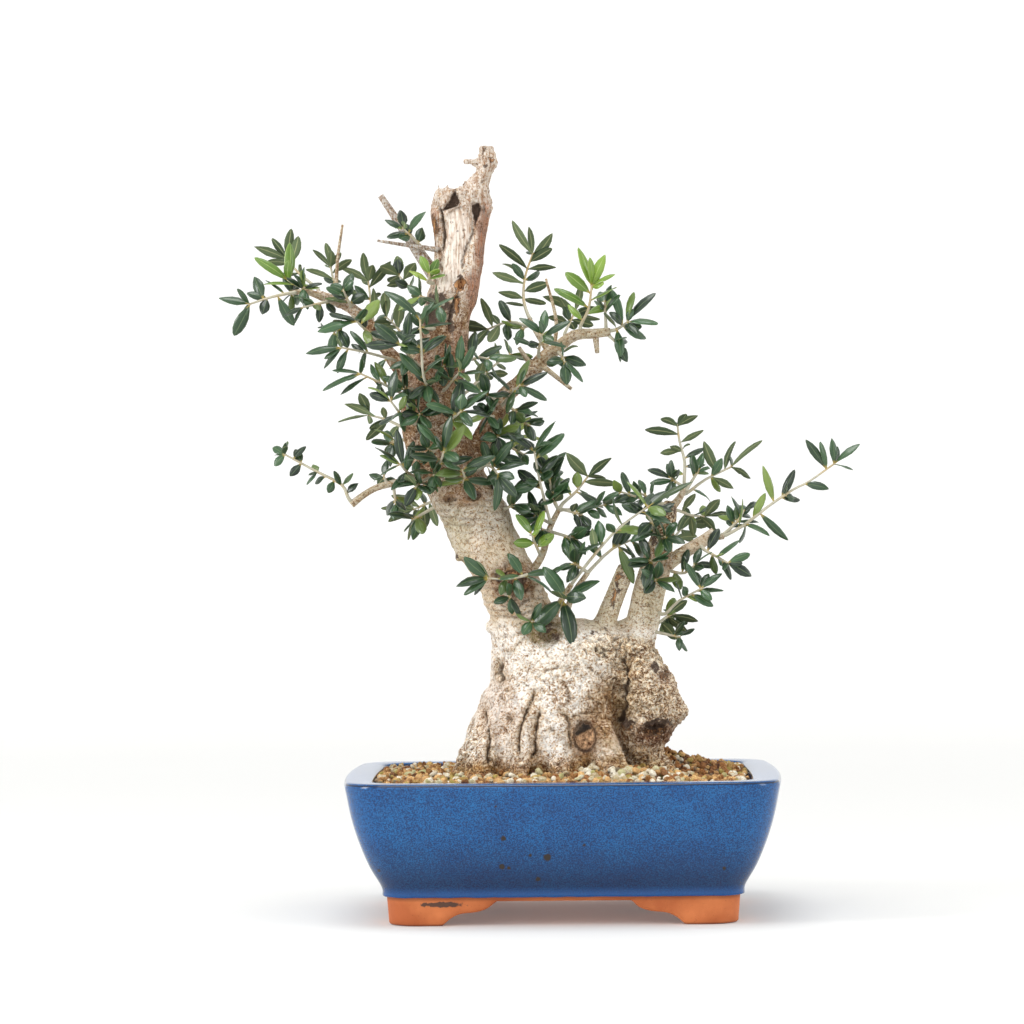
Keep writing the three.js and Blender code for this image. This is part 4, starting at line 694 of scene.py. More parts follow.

# Dirt and painted shade darken the cracks, crazes, chips, valleys and wrinkles, and flecks lie where the
# bark is rough.
brim = np.exp(-((peeled + 0.5) / 0.7) ** 2) * smooth_step(lumps(points, 6, 45), -0.4, 0.2)
valleys = np.maximum(np.maximum(frills, scar) * (1 - smooth_step(curl, 0.03, 0.14)),
                     np.maximum(0.6 * lobe, 0.8 * low) * (1 - smooth_step(small_curl, 0.02, 0.11)))
wrinkles = trunk * smooth_step(-ripple, 0.55, 0.95) * wrinkled * front
mark["crack_and_shade"] = np.clip(np.maximum.reduce([mark["crack_and_shade"], craze * stump * 0.35, chips * 0.4, brim * 0.8,
                                           valleys * 0.9, wrinkles * 0.45]), 0, 1)
stem_top = patch(seen, 62, 236, 14, 20)
mark["fleck"] = np.maximum.reduce([
    0.12 * stump, 0.45 * stained * stump, 0.4 * frills, 0.4 * scar, 0.65 * lobe,
    0.6 * stump * patch(seen, 22, 122, 13, 18), 0.5 * flaky * stump,
    0.6 * (1 - smooth_step(z, 92, 106)), 0.5 * patch(seen, -55, 104, 7, 18), 0.12 * trunk,
    0.5 * trunk * smooth_step(z, 245, 265), 0.06 * crust, 0.08 * dead, 0.9 * stem_top, 0.15 * limb,
])

# The thin limbs keep their own skins, finer than the fused wood's, and are joined to it.
bm = bmesh.new()
for rod in THIN_LIMBS.values():
    loft(bm, [*map(on_tree, rod_rings(rod, 12, 6))])
bmesh.ops.recalc_face_normals(bm, faces=bm.faces)
limbs = bpy.data.meshes.new("limbs")
bm.to_mesh(limbs)
bm.free()

# How the wood is coloured. Each patch: middle, half width and half height as they look from the
# front, and strength. The tints lie under the patches and go all round.
PATCHES = {
    "moss": [[-13, 172, 13, 9, 1], [-58, 104, 6, 16, 0.45], [-46, 96, 4, 8, 0.5],
             [54, 190, 7, 12, 0.2], [-26, 139, 4, 2, 0.4], [9, 117, 9, 3, 0.4], [25, 98, 12, 7, 0.4],
             [36, 122, 5, 12, 0.5], [-40, 150, 3, 7, 0.5], [48, 128, 14, 9, 0.4],
             [-2, 150, 9, 2, 0.35], [24, 160, 9, 4, 0.4], [-62, 92, 5, 8, 0.6]],
    "heart": [[38, 112.5, 5, 2.5, 0.5], [54, 110, 9, 3, 0.6],
              [-61.5, 385, 2.8, 4.2, 1], [-64, 372, 2, 7, 0.95], [-77, 418, 1.8, 9, 0.8],
              [-46.5, 466, 1.2, 3, 0.6], [-43, 442, 1.6, 1.2, 0.8], [-41.5, 461, 1.2, 2, 0.7],
              [-52.5, 466.5, 1.5, 1, 0.6], [61, 145, 2.5, 4, 0.5], [-30, 204, 7, 4.5, 0.6],
              [30.5, 193, 1.6, 6, 0.7], [34, 203, 1.4, 4, 0.6]],
    # dark: painted shade in the hollows and under the lobe, and dark rot elsewhere
    "dark": [[12, 99.5, 3, 1.6, 0.8], [38.5, 116, 6, 2.6, 0.95], [57, 114.5, 10.5, 2.8, 0.95],
             [55.5, 149, 2.4, 5, 0.9], [-12, 175, 5, 4, 0.8], [-5, 169, 3, 2.5, 0.7],
             [-76, 372.5, 7.5, 7, 1], [-80, 363, 5, 7, 0.8], [-61.5, 389.5, 3, 1.8, 1],
             [-45, 458, 1.6, 1.2, 0.9], [-67.5, 364, 2, 12, 0.9], [-58, 350, 3, 5, 0.5],
             [18, 171, 3, 1.5, 0.8], [-66, 445.5, 5, 1, 0.9], [69, 104, 3, 4, 0.6],
             [-69, 253.5, 3.4, 1.6, 0.6], [-54, 255.5, 4.2, 3, 0.7], [-65.5, 218.5, 1.5, 1.8, 0.8],
             [-27, 200, 4, 6, 0.8],
             [-40, 205, 3, 2.5, 0.6], [33, 198, 1.6, 4, 0.9], [31, 187, 1.2, 2.5, 0.8], [26, 172, 2, 2, 0.7],
             [37, 211, 3, 2, 0.6], [62, 246, 7, 5, 0.6], [56, 228, 3, 7, 0.6], [68, 236, 3, 8, 0.5]],
    "red": [[-46, 408, 6, 26, 0.9], [-50, 376, 8, 20, 0.9], [-82, 364, 5, 7, 0.8], [-77, 420, 3, 12, 0.6],
            [58, 214, 9, 9, 0.4], [62, 143, 4, 6, 0.4], [-40, 125, 12, 14, 0.12],
            [-62, 340, 12, 16, 0.45], [-86, 330, 8, 24, 0.3]],
}
TINTS = [  # height from and to, and the bark's colour between them
    [60, 90, "#c9a672"], [100, 168, "#fffcf6"], [180, 222, "#d8c7ae"], [236, 256, "#b8ad99"],
    [268, 362, "#9a7c5c"], [386, 424, "#efe4d6"], [432, 470, "#d2c8bc"],
]


def rgb(code):
    """A colour's code as the three numbers that a mesh keeps."""
    return np.array(linear(code)[:3])


def lay_colour(mesh, name, values):
    """Keeps a number or a colour for every vertex in the mesh."""
    layer = mesh.color_attributes.new(name, "FLOAT_COLOR", "POINT")
    four = np.ones((len(mesh.vertices), 4), np.float32)
    four[:, :values.shape[1]] = values
    layer.data.foreach_set("color", four.ravel())


seen = from_front(points)
spread = seen + np.column_stack([lumps(points, 5, 51), lumps(points, 5, 52)]) * 2.2
shown = smooth_step(-normals[:, 1], -0.3, 0.2)
for name, patches in PATCHES.items():
    for x, z, half_width, half_height, strength in patches:
        here = patch(spread, x, z, half_width, half_height, 0.35) * shown * strength
        mark[name] = np.maximum(mark[name], here)
for hx, hy, hz, a, _, c in HOLLOWS:
    sunk = (np.hypot((seen[:, 0] - hx) / a, (seen[:, 1] - hz) / c) < 1.15) & (points[:, 1] > hy - 1)
    mark["fleck"][sunk & (shown > 0.5)] *= 0.5
x, y, z = points.T
levels = [height for *heights, _ in TINTS for height in heights]
shades = np.repeat([rgb(code) for *_, code in TINTS], 2, axis=0)
level = z + 7 * lumps(points, 18, 53)
tint = np.column_stack([np.interp(level, levels, shades[:, i]) for i in range(3)])
stems = (x > 12) * smooth_step(z, 170, 178) * (1 - smooth_step(x, 70, 76))
for weight, code in (
        (lobe * 0.55, "#e6d2aa"),
        (patch(spread, 62, 238, 14, 17) * smooth_step(z, 195, 205) * 0.9, "#7d5a47"),
        (stump * patch(spread, 24, 124, 13, 18) * 0.6 * shown, "#cdb48a"),
        (scar * 0.9, "#9a6f45"),
        (stained * stump * 0.65, "#bb9a5e"),
        (frills * 0.6, "#f0e2c4"),
        (patch(spread, -13, 172, 12, 8) * shown * 0.8, "#86693f"),
        (patch(spread, -61, 256, 14, 6) * trunk * shown * 0.85, "#a27a50"),
        (stump * patch(spread, 27, 116, 10, 24) * 0.75 * shown, "#b08c58"),
        (lobe * patch(spread, 56, 108, 14, 7) * 0.9, "#8f5f38"),
        (trunk * patch(spread, -66, 224, 9, 24) * shown * 0.5, "#a9a283"),
        (limb * smooth_step(z, 262, 290) * 0.8, "#b09c80"),
        (stump * patch(spread, -42, 124, 16, 26) * 0.4, "#ecdccf"),
        (stump * patch(spread, 0, 150, 26, 10) * 0.8, "#f8f2e6"),
        (stems * 0.8, "#cfc6ac"),
        (smooth_step(z, 300, 340) * (x > -50) * (z < 372) * 0.7, "#b7a98d")):
    tint = tint + weight[:, None] * (rgb(code) - tint)
mossy = np.clip(lumps(points, 10, 54) * 1.5 - 0.3, 0, 1)
mossy = mossy * np.maximum(0.45 * smooth_step(-z, -118, -92), 0.35 * trunk)
mark["moss"] = np.maximum(mark["moss"], mossy)
lay_colour(mesh, "tint", tint)
for name, kinds in (("marks", ("crack_and_shade", "moss", "heart", "fleck")), ("rot", ("bare", "red", "dark"))):
    lay_colour(mesh, name, np.column_stack([mark[kind] for kind in kinds]))


def winding_lines(tree, place, coarse):
    """The lines between the bark's scales and their dark cores, which are partly painted shade in the
    gaps: wide where the bark is coarse, hair-thin where it is smooth."""
    squat = add(tree, "Mapping", {0: place, 3: (1, 1, 1.5)})
    winding = add(tree, "TexNoise", {"Vector": squat, "Scale": 1000 / 6, "Detail": 3, "Roughness": 0.55,
                                     "Distortion": 1.2})
    off = add(tree, "Math", {0: winding, 1: 0.5}, operation="SUBTRACT")
    off = add(tree, "Math", {0: off}, operation="ABSOLUTE")
    width = add(tree, "Math", {0: coarse, 1: 0.05, 2: 0.012}, operation="MULTIPLY_ADD")
    line = add(tree, "MapRange", {0: off, 1: width, 2: 0.001})
    core = add(tree, "MapRange", {0: line, 1: 0.45, 2: 0.75})
    return line, add(tree, "Math", {0: core, 1: coarse}, operation="MULTIPLY")


def knot_hole(tree, place, fleck, colour):
    """The knot hole in front, laid over the bark: an oval plug of orange heartwood with painted shadow
    under its upper lip, inside a dark line and a stained collar."""
    across, up, away = in_oval(tree, place, on_tree((KNOT[0], 0, KNOT[2])), (KNOT[3], KNOT[5]))
    away = add(tree, "Math", {0: fleck, 1: 0.9, 2: away}, operation="MULTIPLY_ADD")
    plug = add(tree, "MapRange", {0: fleck, 1: 0.38, 2: 0.62})
    plug = add(tree, "Mix", {0: plug, 6: "#54301a", 7: "#efc396"})
    # painted shadow: black in the upper part of the hole, under its lip
    shade = add(tree, "Math", {0: across, 1: -0.35, 2: up}, operation="MULTIPLY_ADD")
    shade = add(tree, "Math", {0: fleck, 1: 0.8, 2: shade}, operation="MULTIPLY_ADD")
    shade = add(tree, "MapRange", {0: shade, 1: 0.66, 2: 0.8, 4: 0.95})
    plug = add(tree, "Mix", {0: shade, 6: plug, 7: "#15100d"})
    collar = add(tree, "MapRange", {0: away, 1: 2.3, 2: 1.5, 4: 0.7})
    inside = add(tree, "MapRange", {0: away, 1: 1.42, 2: 1.32})
    lip = add(tree, "Math", {0: away, 1: 1.5}, operation="SUBTRACT")
    lip = add(tree, "Math", {0: lip}, operation="ABSOLUTE")
    lip = add(tree, "MapRange", {0: lip, 1: 0.16, 2: 0.06, 4: 0.85})
    depth = add(tree, "SeparateXYZ", {0: place}).outputs[1]
    front = add(tree, "MapRange", {0: depth, 1: -0.02, 2: -0.025})
    for share, tone, blend in ((collar, "#b08a58", "MULTIPLY"), (inside, plug, "MIX"),
                               (lip, "#3f2816", "MIX")):
        share = add(tree, "Math", {0: share, 1: front}, operation="MULTIPLY")
        colour = add(tree, "Mix", {0: share, 6: colour, 7: tone}, blend_type=blend)
    return colour


# Old olive bark and the wood under it: pale, dry and chalky, flecked with brown where it crazes,
# mossy where water stands, orange where a branch rotted out, and silver-white where it is bare.
def make_bark():
    made, tree, place = new_material("olive_bark")
    colour = add(tree, "Attribute", attribute_name="tint")
    marks = add(tree, "Attribute", attribute_name="marks").outputs
    # the first mark: dirt in the cracks, and painted shade in them and in the crazes, valleys and wrinkles
    crack_and_shade, moss, heart = add(tree, "SeparateColor", {0: marks["Color"]}).outputs
    coarse = marks["Alpha"]
    rot = add(tree, "Attribute", attribute_name="rot")
    bare, red, dark = add(tree, "SeparateColor", {0: rot}).outputs
    cloud = add(tree, "TexNoise", {"Vector": place, "Scale": 1000 / 9, "Detail": 4, "Roughness": 0.6})
    fleck = add(tree, "TexNoise", {"Vector": place, "Scale": 1000 / 2.2, "Detail": 4, "Roughness": 0.65})
    grit = add(tree, "TexNoise", {"Vector": place, "Scale": 1000 / 1.3, "Detail": 2, "Roughness": 0.6})
    drawn = add(tree, "Mapping", {0: place, 3: (1, 1, 0.12)})
    streak = add(tree, "TexNoise", {"Vector": drawn, "Scale": 1000 / 1.3, "Detail": 4, "Roughness": 0.6})
    line, core = winding_lines(tree, place, coarse)

    # The living bark: paler clouds, painted highlights on the low flecks of coarse bark, red-brown where it
    # is young or torn, and moss.
    pale = add(tree, "MapRange", {0: cloud, 1: 0.45, 2: 0.68, 4: 0.5})
    lighter = add(tree, "Mix", {0: 0.5, 6: colour, 7: "#ffffff"})
    # painted highlights: near-white on the low flecks where the bark is coarse
    painted_highlight = add(tree, "MapRange", {0: fleck, 1: 0.47, 2: 0.36})
    painted_highlight = add(tree, "Math", {0: painted_highlight, 1: coarse}, operation="MULTIPLY")
    rust = add(tree, "MapRange", {0: streak, 1: 0.4, 2: 0.62})
    rust = add(tree, "Mix", {0: rust, 6: "#6e4a38", 7: "#d0a083"})
    mossy = add(tree, "MapRange", {0: fleck, 1: 0.42, 2: 0.6})
    mossy = add(tree, "Math", {0: mossy, 1: moss}, operation="MULTIPLY")
    green = add(tree, "Mix", {0: grit, 6: "#5f532e", 7: "#979056"})
    for share, tone in ((pale, lighter), (painted_highlight, "#fff3dc"), (red, rust), (mossy, green)):
        colour = add(tree, "Mix", {0: share, 6: colour, 7: tone})

    # Dirt, of which each layer darkens the bark's own colour: fibres high up on the dead top, sand,
    # tan and brown spots, and the winding lines, whose dark cores are partly painted shade.
    high = add(tree, "SeparateXYZ", {0: place}).outputs[2]
    fibrous = add(tree, "MapRange", {0: high, 1: 0.37, 2: 0.385})
    fibre = add(tree, "MapRange", {0: streak, 1: 0.44, 2: 0.64})
    fibrous = add(tree, "Math", {0: fibrous, 1: fibre}, operation="MULTIPLY")
    sandy = add(tree, "MapRange", {0: fleck, 1: 0.5, 2: 0.66})
    much = add(tree, "Math", {0: coarse, 1: 0.75, 2: 0.18}, operation="MULTIPLY_ADD")
    sandy = add(tree, "Math", {0: sandy, 1: much}, operation="MULTIPLY")
    many = add(tree, "Math", {0: coarse, 1: 0.13, 2: grit}, operation="MULTIPLY_ADD")
    tan = add(tree, "MapRange", {0: many, 1: 0.55, 2: 0.64, 4: 0.7})
    spots = add(tree, "MapRange", {0: many, 1: 0.685, 2: 0.735, 4: 0.9})
    for share, dirt in ((fibrous, "#c4a78f"), (sandy, "#ca9a4a"), (tan, "#d9b47c"), (spots, "#7d541f"),
                        (line, "#b68238"), (core, "#52300e")):
        colour = add(tree, "Mix", {0: share, 6: colour, 7: dirt}, blend_type="MULTIPLY")

    # Dead wood: silver where the bark fell off, orange heartwood with a charred edge, dark rot with
    # painted shade in the hollows and notches, and the black of the cracks with painted shade in them.
    silver = add(tree, "MapRange", {0: streak, 1: 0.42, 2: 0.66})
    silver = add(tree, "Mix", {0: silver, 6: "#f1e6da", 7: "#a98669"})
    torn = add(tree, "Math", {0: fleck, 1: 2, 2: heart}, operation="MULTIPLY_ADD")
    charred = add(tree, "MapRange", {0: torn, 1: 1.15, 2: 1.4, 4: 0.85})
    torn = add(tree, "MapRange", {0: torn, 1: 1.45, 2: 1.75})
    orange = add(tree, "MapRange", {0: streak, 1: 0.4, 2: 0.62})
    orange = add(tree, "Mix", {0: orange, 6: "#d6a06c", 7: "#5a3018"})
    rot_and_shade = add(tree, "Math", {0: fleck, 1: 2, 2: dark}, operation="MULTIPLY_ADD")
    rot_and_shade = add(tree, "MapRange", {0: rot_and_shade, 1: 1.4, 2: 1.75})
    brown = add(tree, "Mix", {0: grit, 6: "#1c1511", 7: "#7d6758"})
    for share, tone in ((bare, silver), (charred, "#4a3322"), (torn, orange), (rot_and_shade, brown),
                        (crack_and_shade, "#3c2b1b")):
        colour = add(tree, "Mix", {0: share, 6: colour, 7: tone})
    colour = knot_hole(tree, place, fleck, colour)

    height = add(tree, "Math", {0: line, 1: -0.8, 2: fleck}, operation="MULTIPLY_ADD")
    height = add(tree, "Math", {0: grit, 1: 0.3, 2: height}, operation="MULTIPLY_ADD")
    bump = add(tree, "Bump", {"Strength": 0.6, "Distance": 0.0007, "Height": height})
    shader = add(tree, "BsdfPrincipled", {"Base Color": colour, "Roughness": 0.85, "Normal": bump})
    add(tree, "OutputMaterial", {0: shader})
    return made


# The thin limbs get their colours, and the two meshes become one.
x, _, z = ((read(limbs) - TREE) / MM).T
tint = np.tile(rgb("#c0b298"), (len(x), 1))
tint[(z > 384) & (x > -116) & (x < -70)] = rgb("#c3bfbb")  # long dead and bleached
lay_colour(limbs, "tint", tint)
lay_colour(limbs, "marks", np.tile([0, 0.15, 0, 0.15], (len(x), 1)))
lay_colour(limbs, "rot", np.zeros((len(x), 3)))
bm = bmesh.new()
for part in (mesh, limbs):
    bm.from_mesh(part)
bm.to_mesh(mesh)
bm.free()
bpy.data.meshes.remove(limbs)
mesh.materials.append(make_bark())
mesh.shade_smooth()
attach(wood, "root")
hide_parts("wood")

# ---- The soil ----
# Bonsai soil for an olive: loose granules of fired clay and pumice with some dark crumbs, most of
# them 3 to 6 mm across and larger in front, heaped a little against the stump. They lie two deep
# on a brown bed.

LEVEL = 83
# Mounds: middle, height, and spread across and in depth.
MOUNDS = [[-8, -8, 5.5, 62, 52], [56, 14, 12, 20, 34], [30, -44, 4, 22, 12], [82, 30, 4, 16, 26]]
# Heights and insets up the bed's wall, then the insets of the rings of its top.
BED_WALL = [[28, 36], [36, 25.2], [52, 17.8], [72, 13.2], [76, 15.8], [79, 18.6], [80.5, 19]]
BED_TOP = [20, 23, 27, 32, 38, 45, 53, 62, 72, 83, 94, 103]
BED_SUNK = 2  # how far the bed lies below the level of the granules
MOUTH_INSET = 19
PITCH = 4.1  # between granules
LAYERS = [(0, 1), (1, 0.6)]  # number from below, and the share of its places that are filled
LAYER_RISE = 2.3
RADII = (1.8, 3.1)


def soil_height(x, y):
    """How high the granules lie at a place."""
    height = np.full(np.shape(x), float(LEVEL))
    for at_x, at_y, rise, spread_x, spread_y in MOUNDS:
        height += rise * np.exp(-((x - at_x) / spread_x) ** 2 - ((y - at_y) / spread_y) ** 2)
    return height


def pot_on_tree(outline):
    """The pot's outline in the tree's own millimetres."""
    return outline + (MIDDLE - TREE)[:2] / MM


# Damp earth between and under the granules: dark brown, crumbly and dull.
def make_bed_soil():
    made, tree, place = new_material("damp_soil")
    crumb = add(tree, "TexNoise", {"Vector": place, "Scale": 1000 / 2.5, "Detail": 4})
    colour = add(tree, "Mix", {0: crumb, 6: "#2f1f12", 7: "#7a5530"})
    bump = add(tree, "Bump", {"Strength": 1, "Distance": 0.001, "Height": crumb})
    shader = add(tree, "BsdfPrincipled", {"Base Color": colour, "Roughness": 0.95, "Normal": bump})
    add(tree, "OutputMaterial", {0: shader})
    return made


# Fired clay and pumice: dry, matt and pitted, with painted shade on the lower side of each granule.
# Every granule has its own shade of its kind, and some are stained with algae or lime.
def make_granule(name, dull, bright, darker_band):
    made, tree, place = new_material(name)
    tone = add(tree, "Attribute", attribute_name="tone")
    shade, stained, up = add(tree, "SeparateColor", {0: tone}).outputs
    pits = add(tree, "TexNoise", {"Vector": place, "Scale": 1000 / 1.3, "Detail": 3, "Roughness": 0.7})
    mixed = add(tree, "Math", {0: pits, 1: 2.6, 2: shade}, operation="MULTIPLY_ADD")
    mixed = add(tree, "MapRange", {0: mixed, 1: 1.25, 2: 2.35})
    colour = add(tree, "Mix", {0: mixed, 6: dull, 7: bright})
    stained = add(tree, "MapRange", {0: stained, 1: 0.72, 2: 1, 4: 0.8})
    colour = add(tree, "Mix", {0: stained, 6: colour, 7: darker_band})
    # painted shade: darker towards each granule's lower side
    painted_shade_below = add(tree, "MapRange", {0: up, 1: 0.5, 2: 0.15, 4: 0.85})
    colour = add(tree, "Mix", {0: painted_shade_below, 6: colour, 7: "#2a1a0e"})
    bump = add(tree, "Bump", {"Strength": 1, "Distance": 0.0013, "Height": pits})
    shader = add(tree, "BsdfPrincipled", {"Base Color": colour, "Roughness": 0.9, "Normal": bump})
    add(tree, "OutputMaterial", {0: shader})
    return made


rings = [level_ring(height, inset) for height, inset in BED_WALL]
for inset in BED_TOP:
    ring = level_ring(0, inset)
    x, y = pot_on_tree(ring[:, :2]).T
    ring[:, 2] = soil_height(x, y) - BED_SUNK + 0.8 * lumps(np.column_stack([x, y, 0 * x]), 7)
    rings.append(ring)
bm = bmesh.new()
loft(bm, [*map(in_frame, rings)])
bmesh.ops.recalc_face_normals(bm, faces=bm.faces)
bed = new_object("soil_bed", bm, make_bed_soil())
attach(bed, "root")
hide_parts("soil")

chance = np.random.default_rng(23)
mouth = pot_on_tree(pot_outline(MOUTH_INSET))
wood_surface = BVHTree.FromObject(wood, bpy.context.evaluated_depsgraph_get())
low, high = mouth.min(axis=0), mouth.max(axis=0)
x, y = (grid.ravel() for grid in np.meshgrid(*(np.arange(a, b, PITCH) for a, b in zip(low, high))))
spots = []
for layer, share in LAYERS:
    kept = chance.random(len(x)) < share
    at = np.column_stack([x, y])[kept] + chance.uniform(-0.42, 0.42, (kept.sum(), 2)) * PITCH
    at += layer * PITCH / 2
    size = chance.uniform(*RADII, len(at)) * np.where(chance.random(len(at)) < 0.12, 0.65, 1)
    pebbly = np.exp(-((at[:, 0] - 34) / 26) ** 2 - ((at[:, 1] + 55) / 18) ** 2)
    size *= 1 + 0.5 * pebbly * chance.random(len(at))
    height = soil_height(*at.T) - 0.9 + layer * LAYER_RISE + chance.uniform(-0.5, 0.6, len(at))
    spots.append(np.column_stack([at, height, size, pebbly]))
spots = np.vstack(spots)
# A granule keeps its place where it is free of the pot's rim and isn't buried in the wood.
free = within(spots[:, :2], mouth) > 0.75 * spots[:, 3]
for i in np.flatnonzero(free):
    at = Vector(on_tree(spots[i, :3]))
    seat, normal, _, away = wood_surface.find_nearest(at)
    free[i] = (at - seat).dot(normal) > 0 or away < 0.8 * MM
spots = spots[free]
x, y, _, size, pebbly = spots.T
# Dark crumbs gather right of the stump, and pale pebbles in front of it.
crumbly = np.exp(-((x - 84) / 20) ** 2 - ((y + 2) / 44) ** 2)
dark_share = 0.12 + 0.6 * crumbly
pale_share = (0.24 + 0.34 * pebbly) * (1 - 0.75 * crumbly)
draw = chance.random(len(spots))
KINDS = {
    "fired_clay_granules": ((draw >= dark_share) & (draw < 1 - pale_share),
                            ("#85501f", "#e9bd80", "#a9a04e")),
    "pumice_granules": (draw >= 1 - pale_share, ("#b39f74", "#fdf6e4", "#b9b872")),
    "dark_granules": (draw < dark_share, ("#4a2b18", "#b37a46", "#8a7f68")),
}
for name, (chosen, colours) in KINDS.items():
    bm = bmesh.new()
    bmesh.ops.create_icosphere(bm, subdivisions=2, radius=1)
    stones = new_object(name, bm, make_granule(name, *colours))
    heap = stones.modifiers.new("heap", "ARRAY")
    heap.count = count = int(chosen.sum())
    heap.use_relative_offset = False
    apply_modifiers(stones)
    shape = read(stones.data).reshape(count, -1, 3)
    # Each stone gets broken faces, its own proportions and a turn.
    for _ in range(7):
        facing = chance.normal(size=(count, 1, 3))
        facing /= np.linalg.norm(facing, axis=2, keepdims=True)
        proud = (shape * facing).sum(axis=2, keepdims=True) - chance.uniform(0.55, 0.85, (count, 1, 1))
        shape = shape - facing * np.maximum(proud, 0)
    shape *= chance.uniform([0.85, 0.65, 0.55], [1.35, 1, 0.9], (count, 3))[:, None]
    turns = np.linalg.qr(chance.normal(size=(count, 3, 3)))[0]
    shape = np.einsum("nij,nvj->nvi", turns, shape) * spots[chosen, 3][:, None, None]
    write(stones.data, (shape + spots[chosen, None, :3]).reshape(-1, 3))
    tones = np.repeat(chance.random((count, 1, 3)), shape.shape[1], axis=1)
    # the third tone is the height within each granule, which the material turns into painted shade below
    tones[:, :, 2] = shape[:, :, 2] / spots[chosen, 3][:, None] / 1.4 + 0.5
    lay_colour(stones.data, "tone", tones.reshape(-1, 3))
    stones.data.polygons.foreach_set("use_smooth", np.ones(len(stones.data.polygons), bool))
    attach(stones, "root")

# ---- The leafy shoots ----
# Thin green twigs that carry olive leaves in opposite pairs. A leaf is leathery, with a dark
# glossy upper side, a pale felted underside, a pale midrib and a thin pale edge.

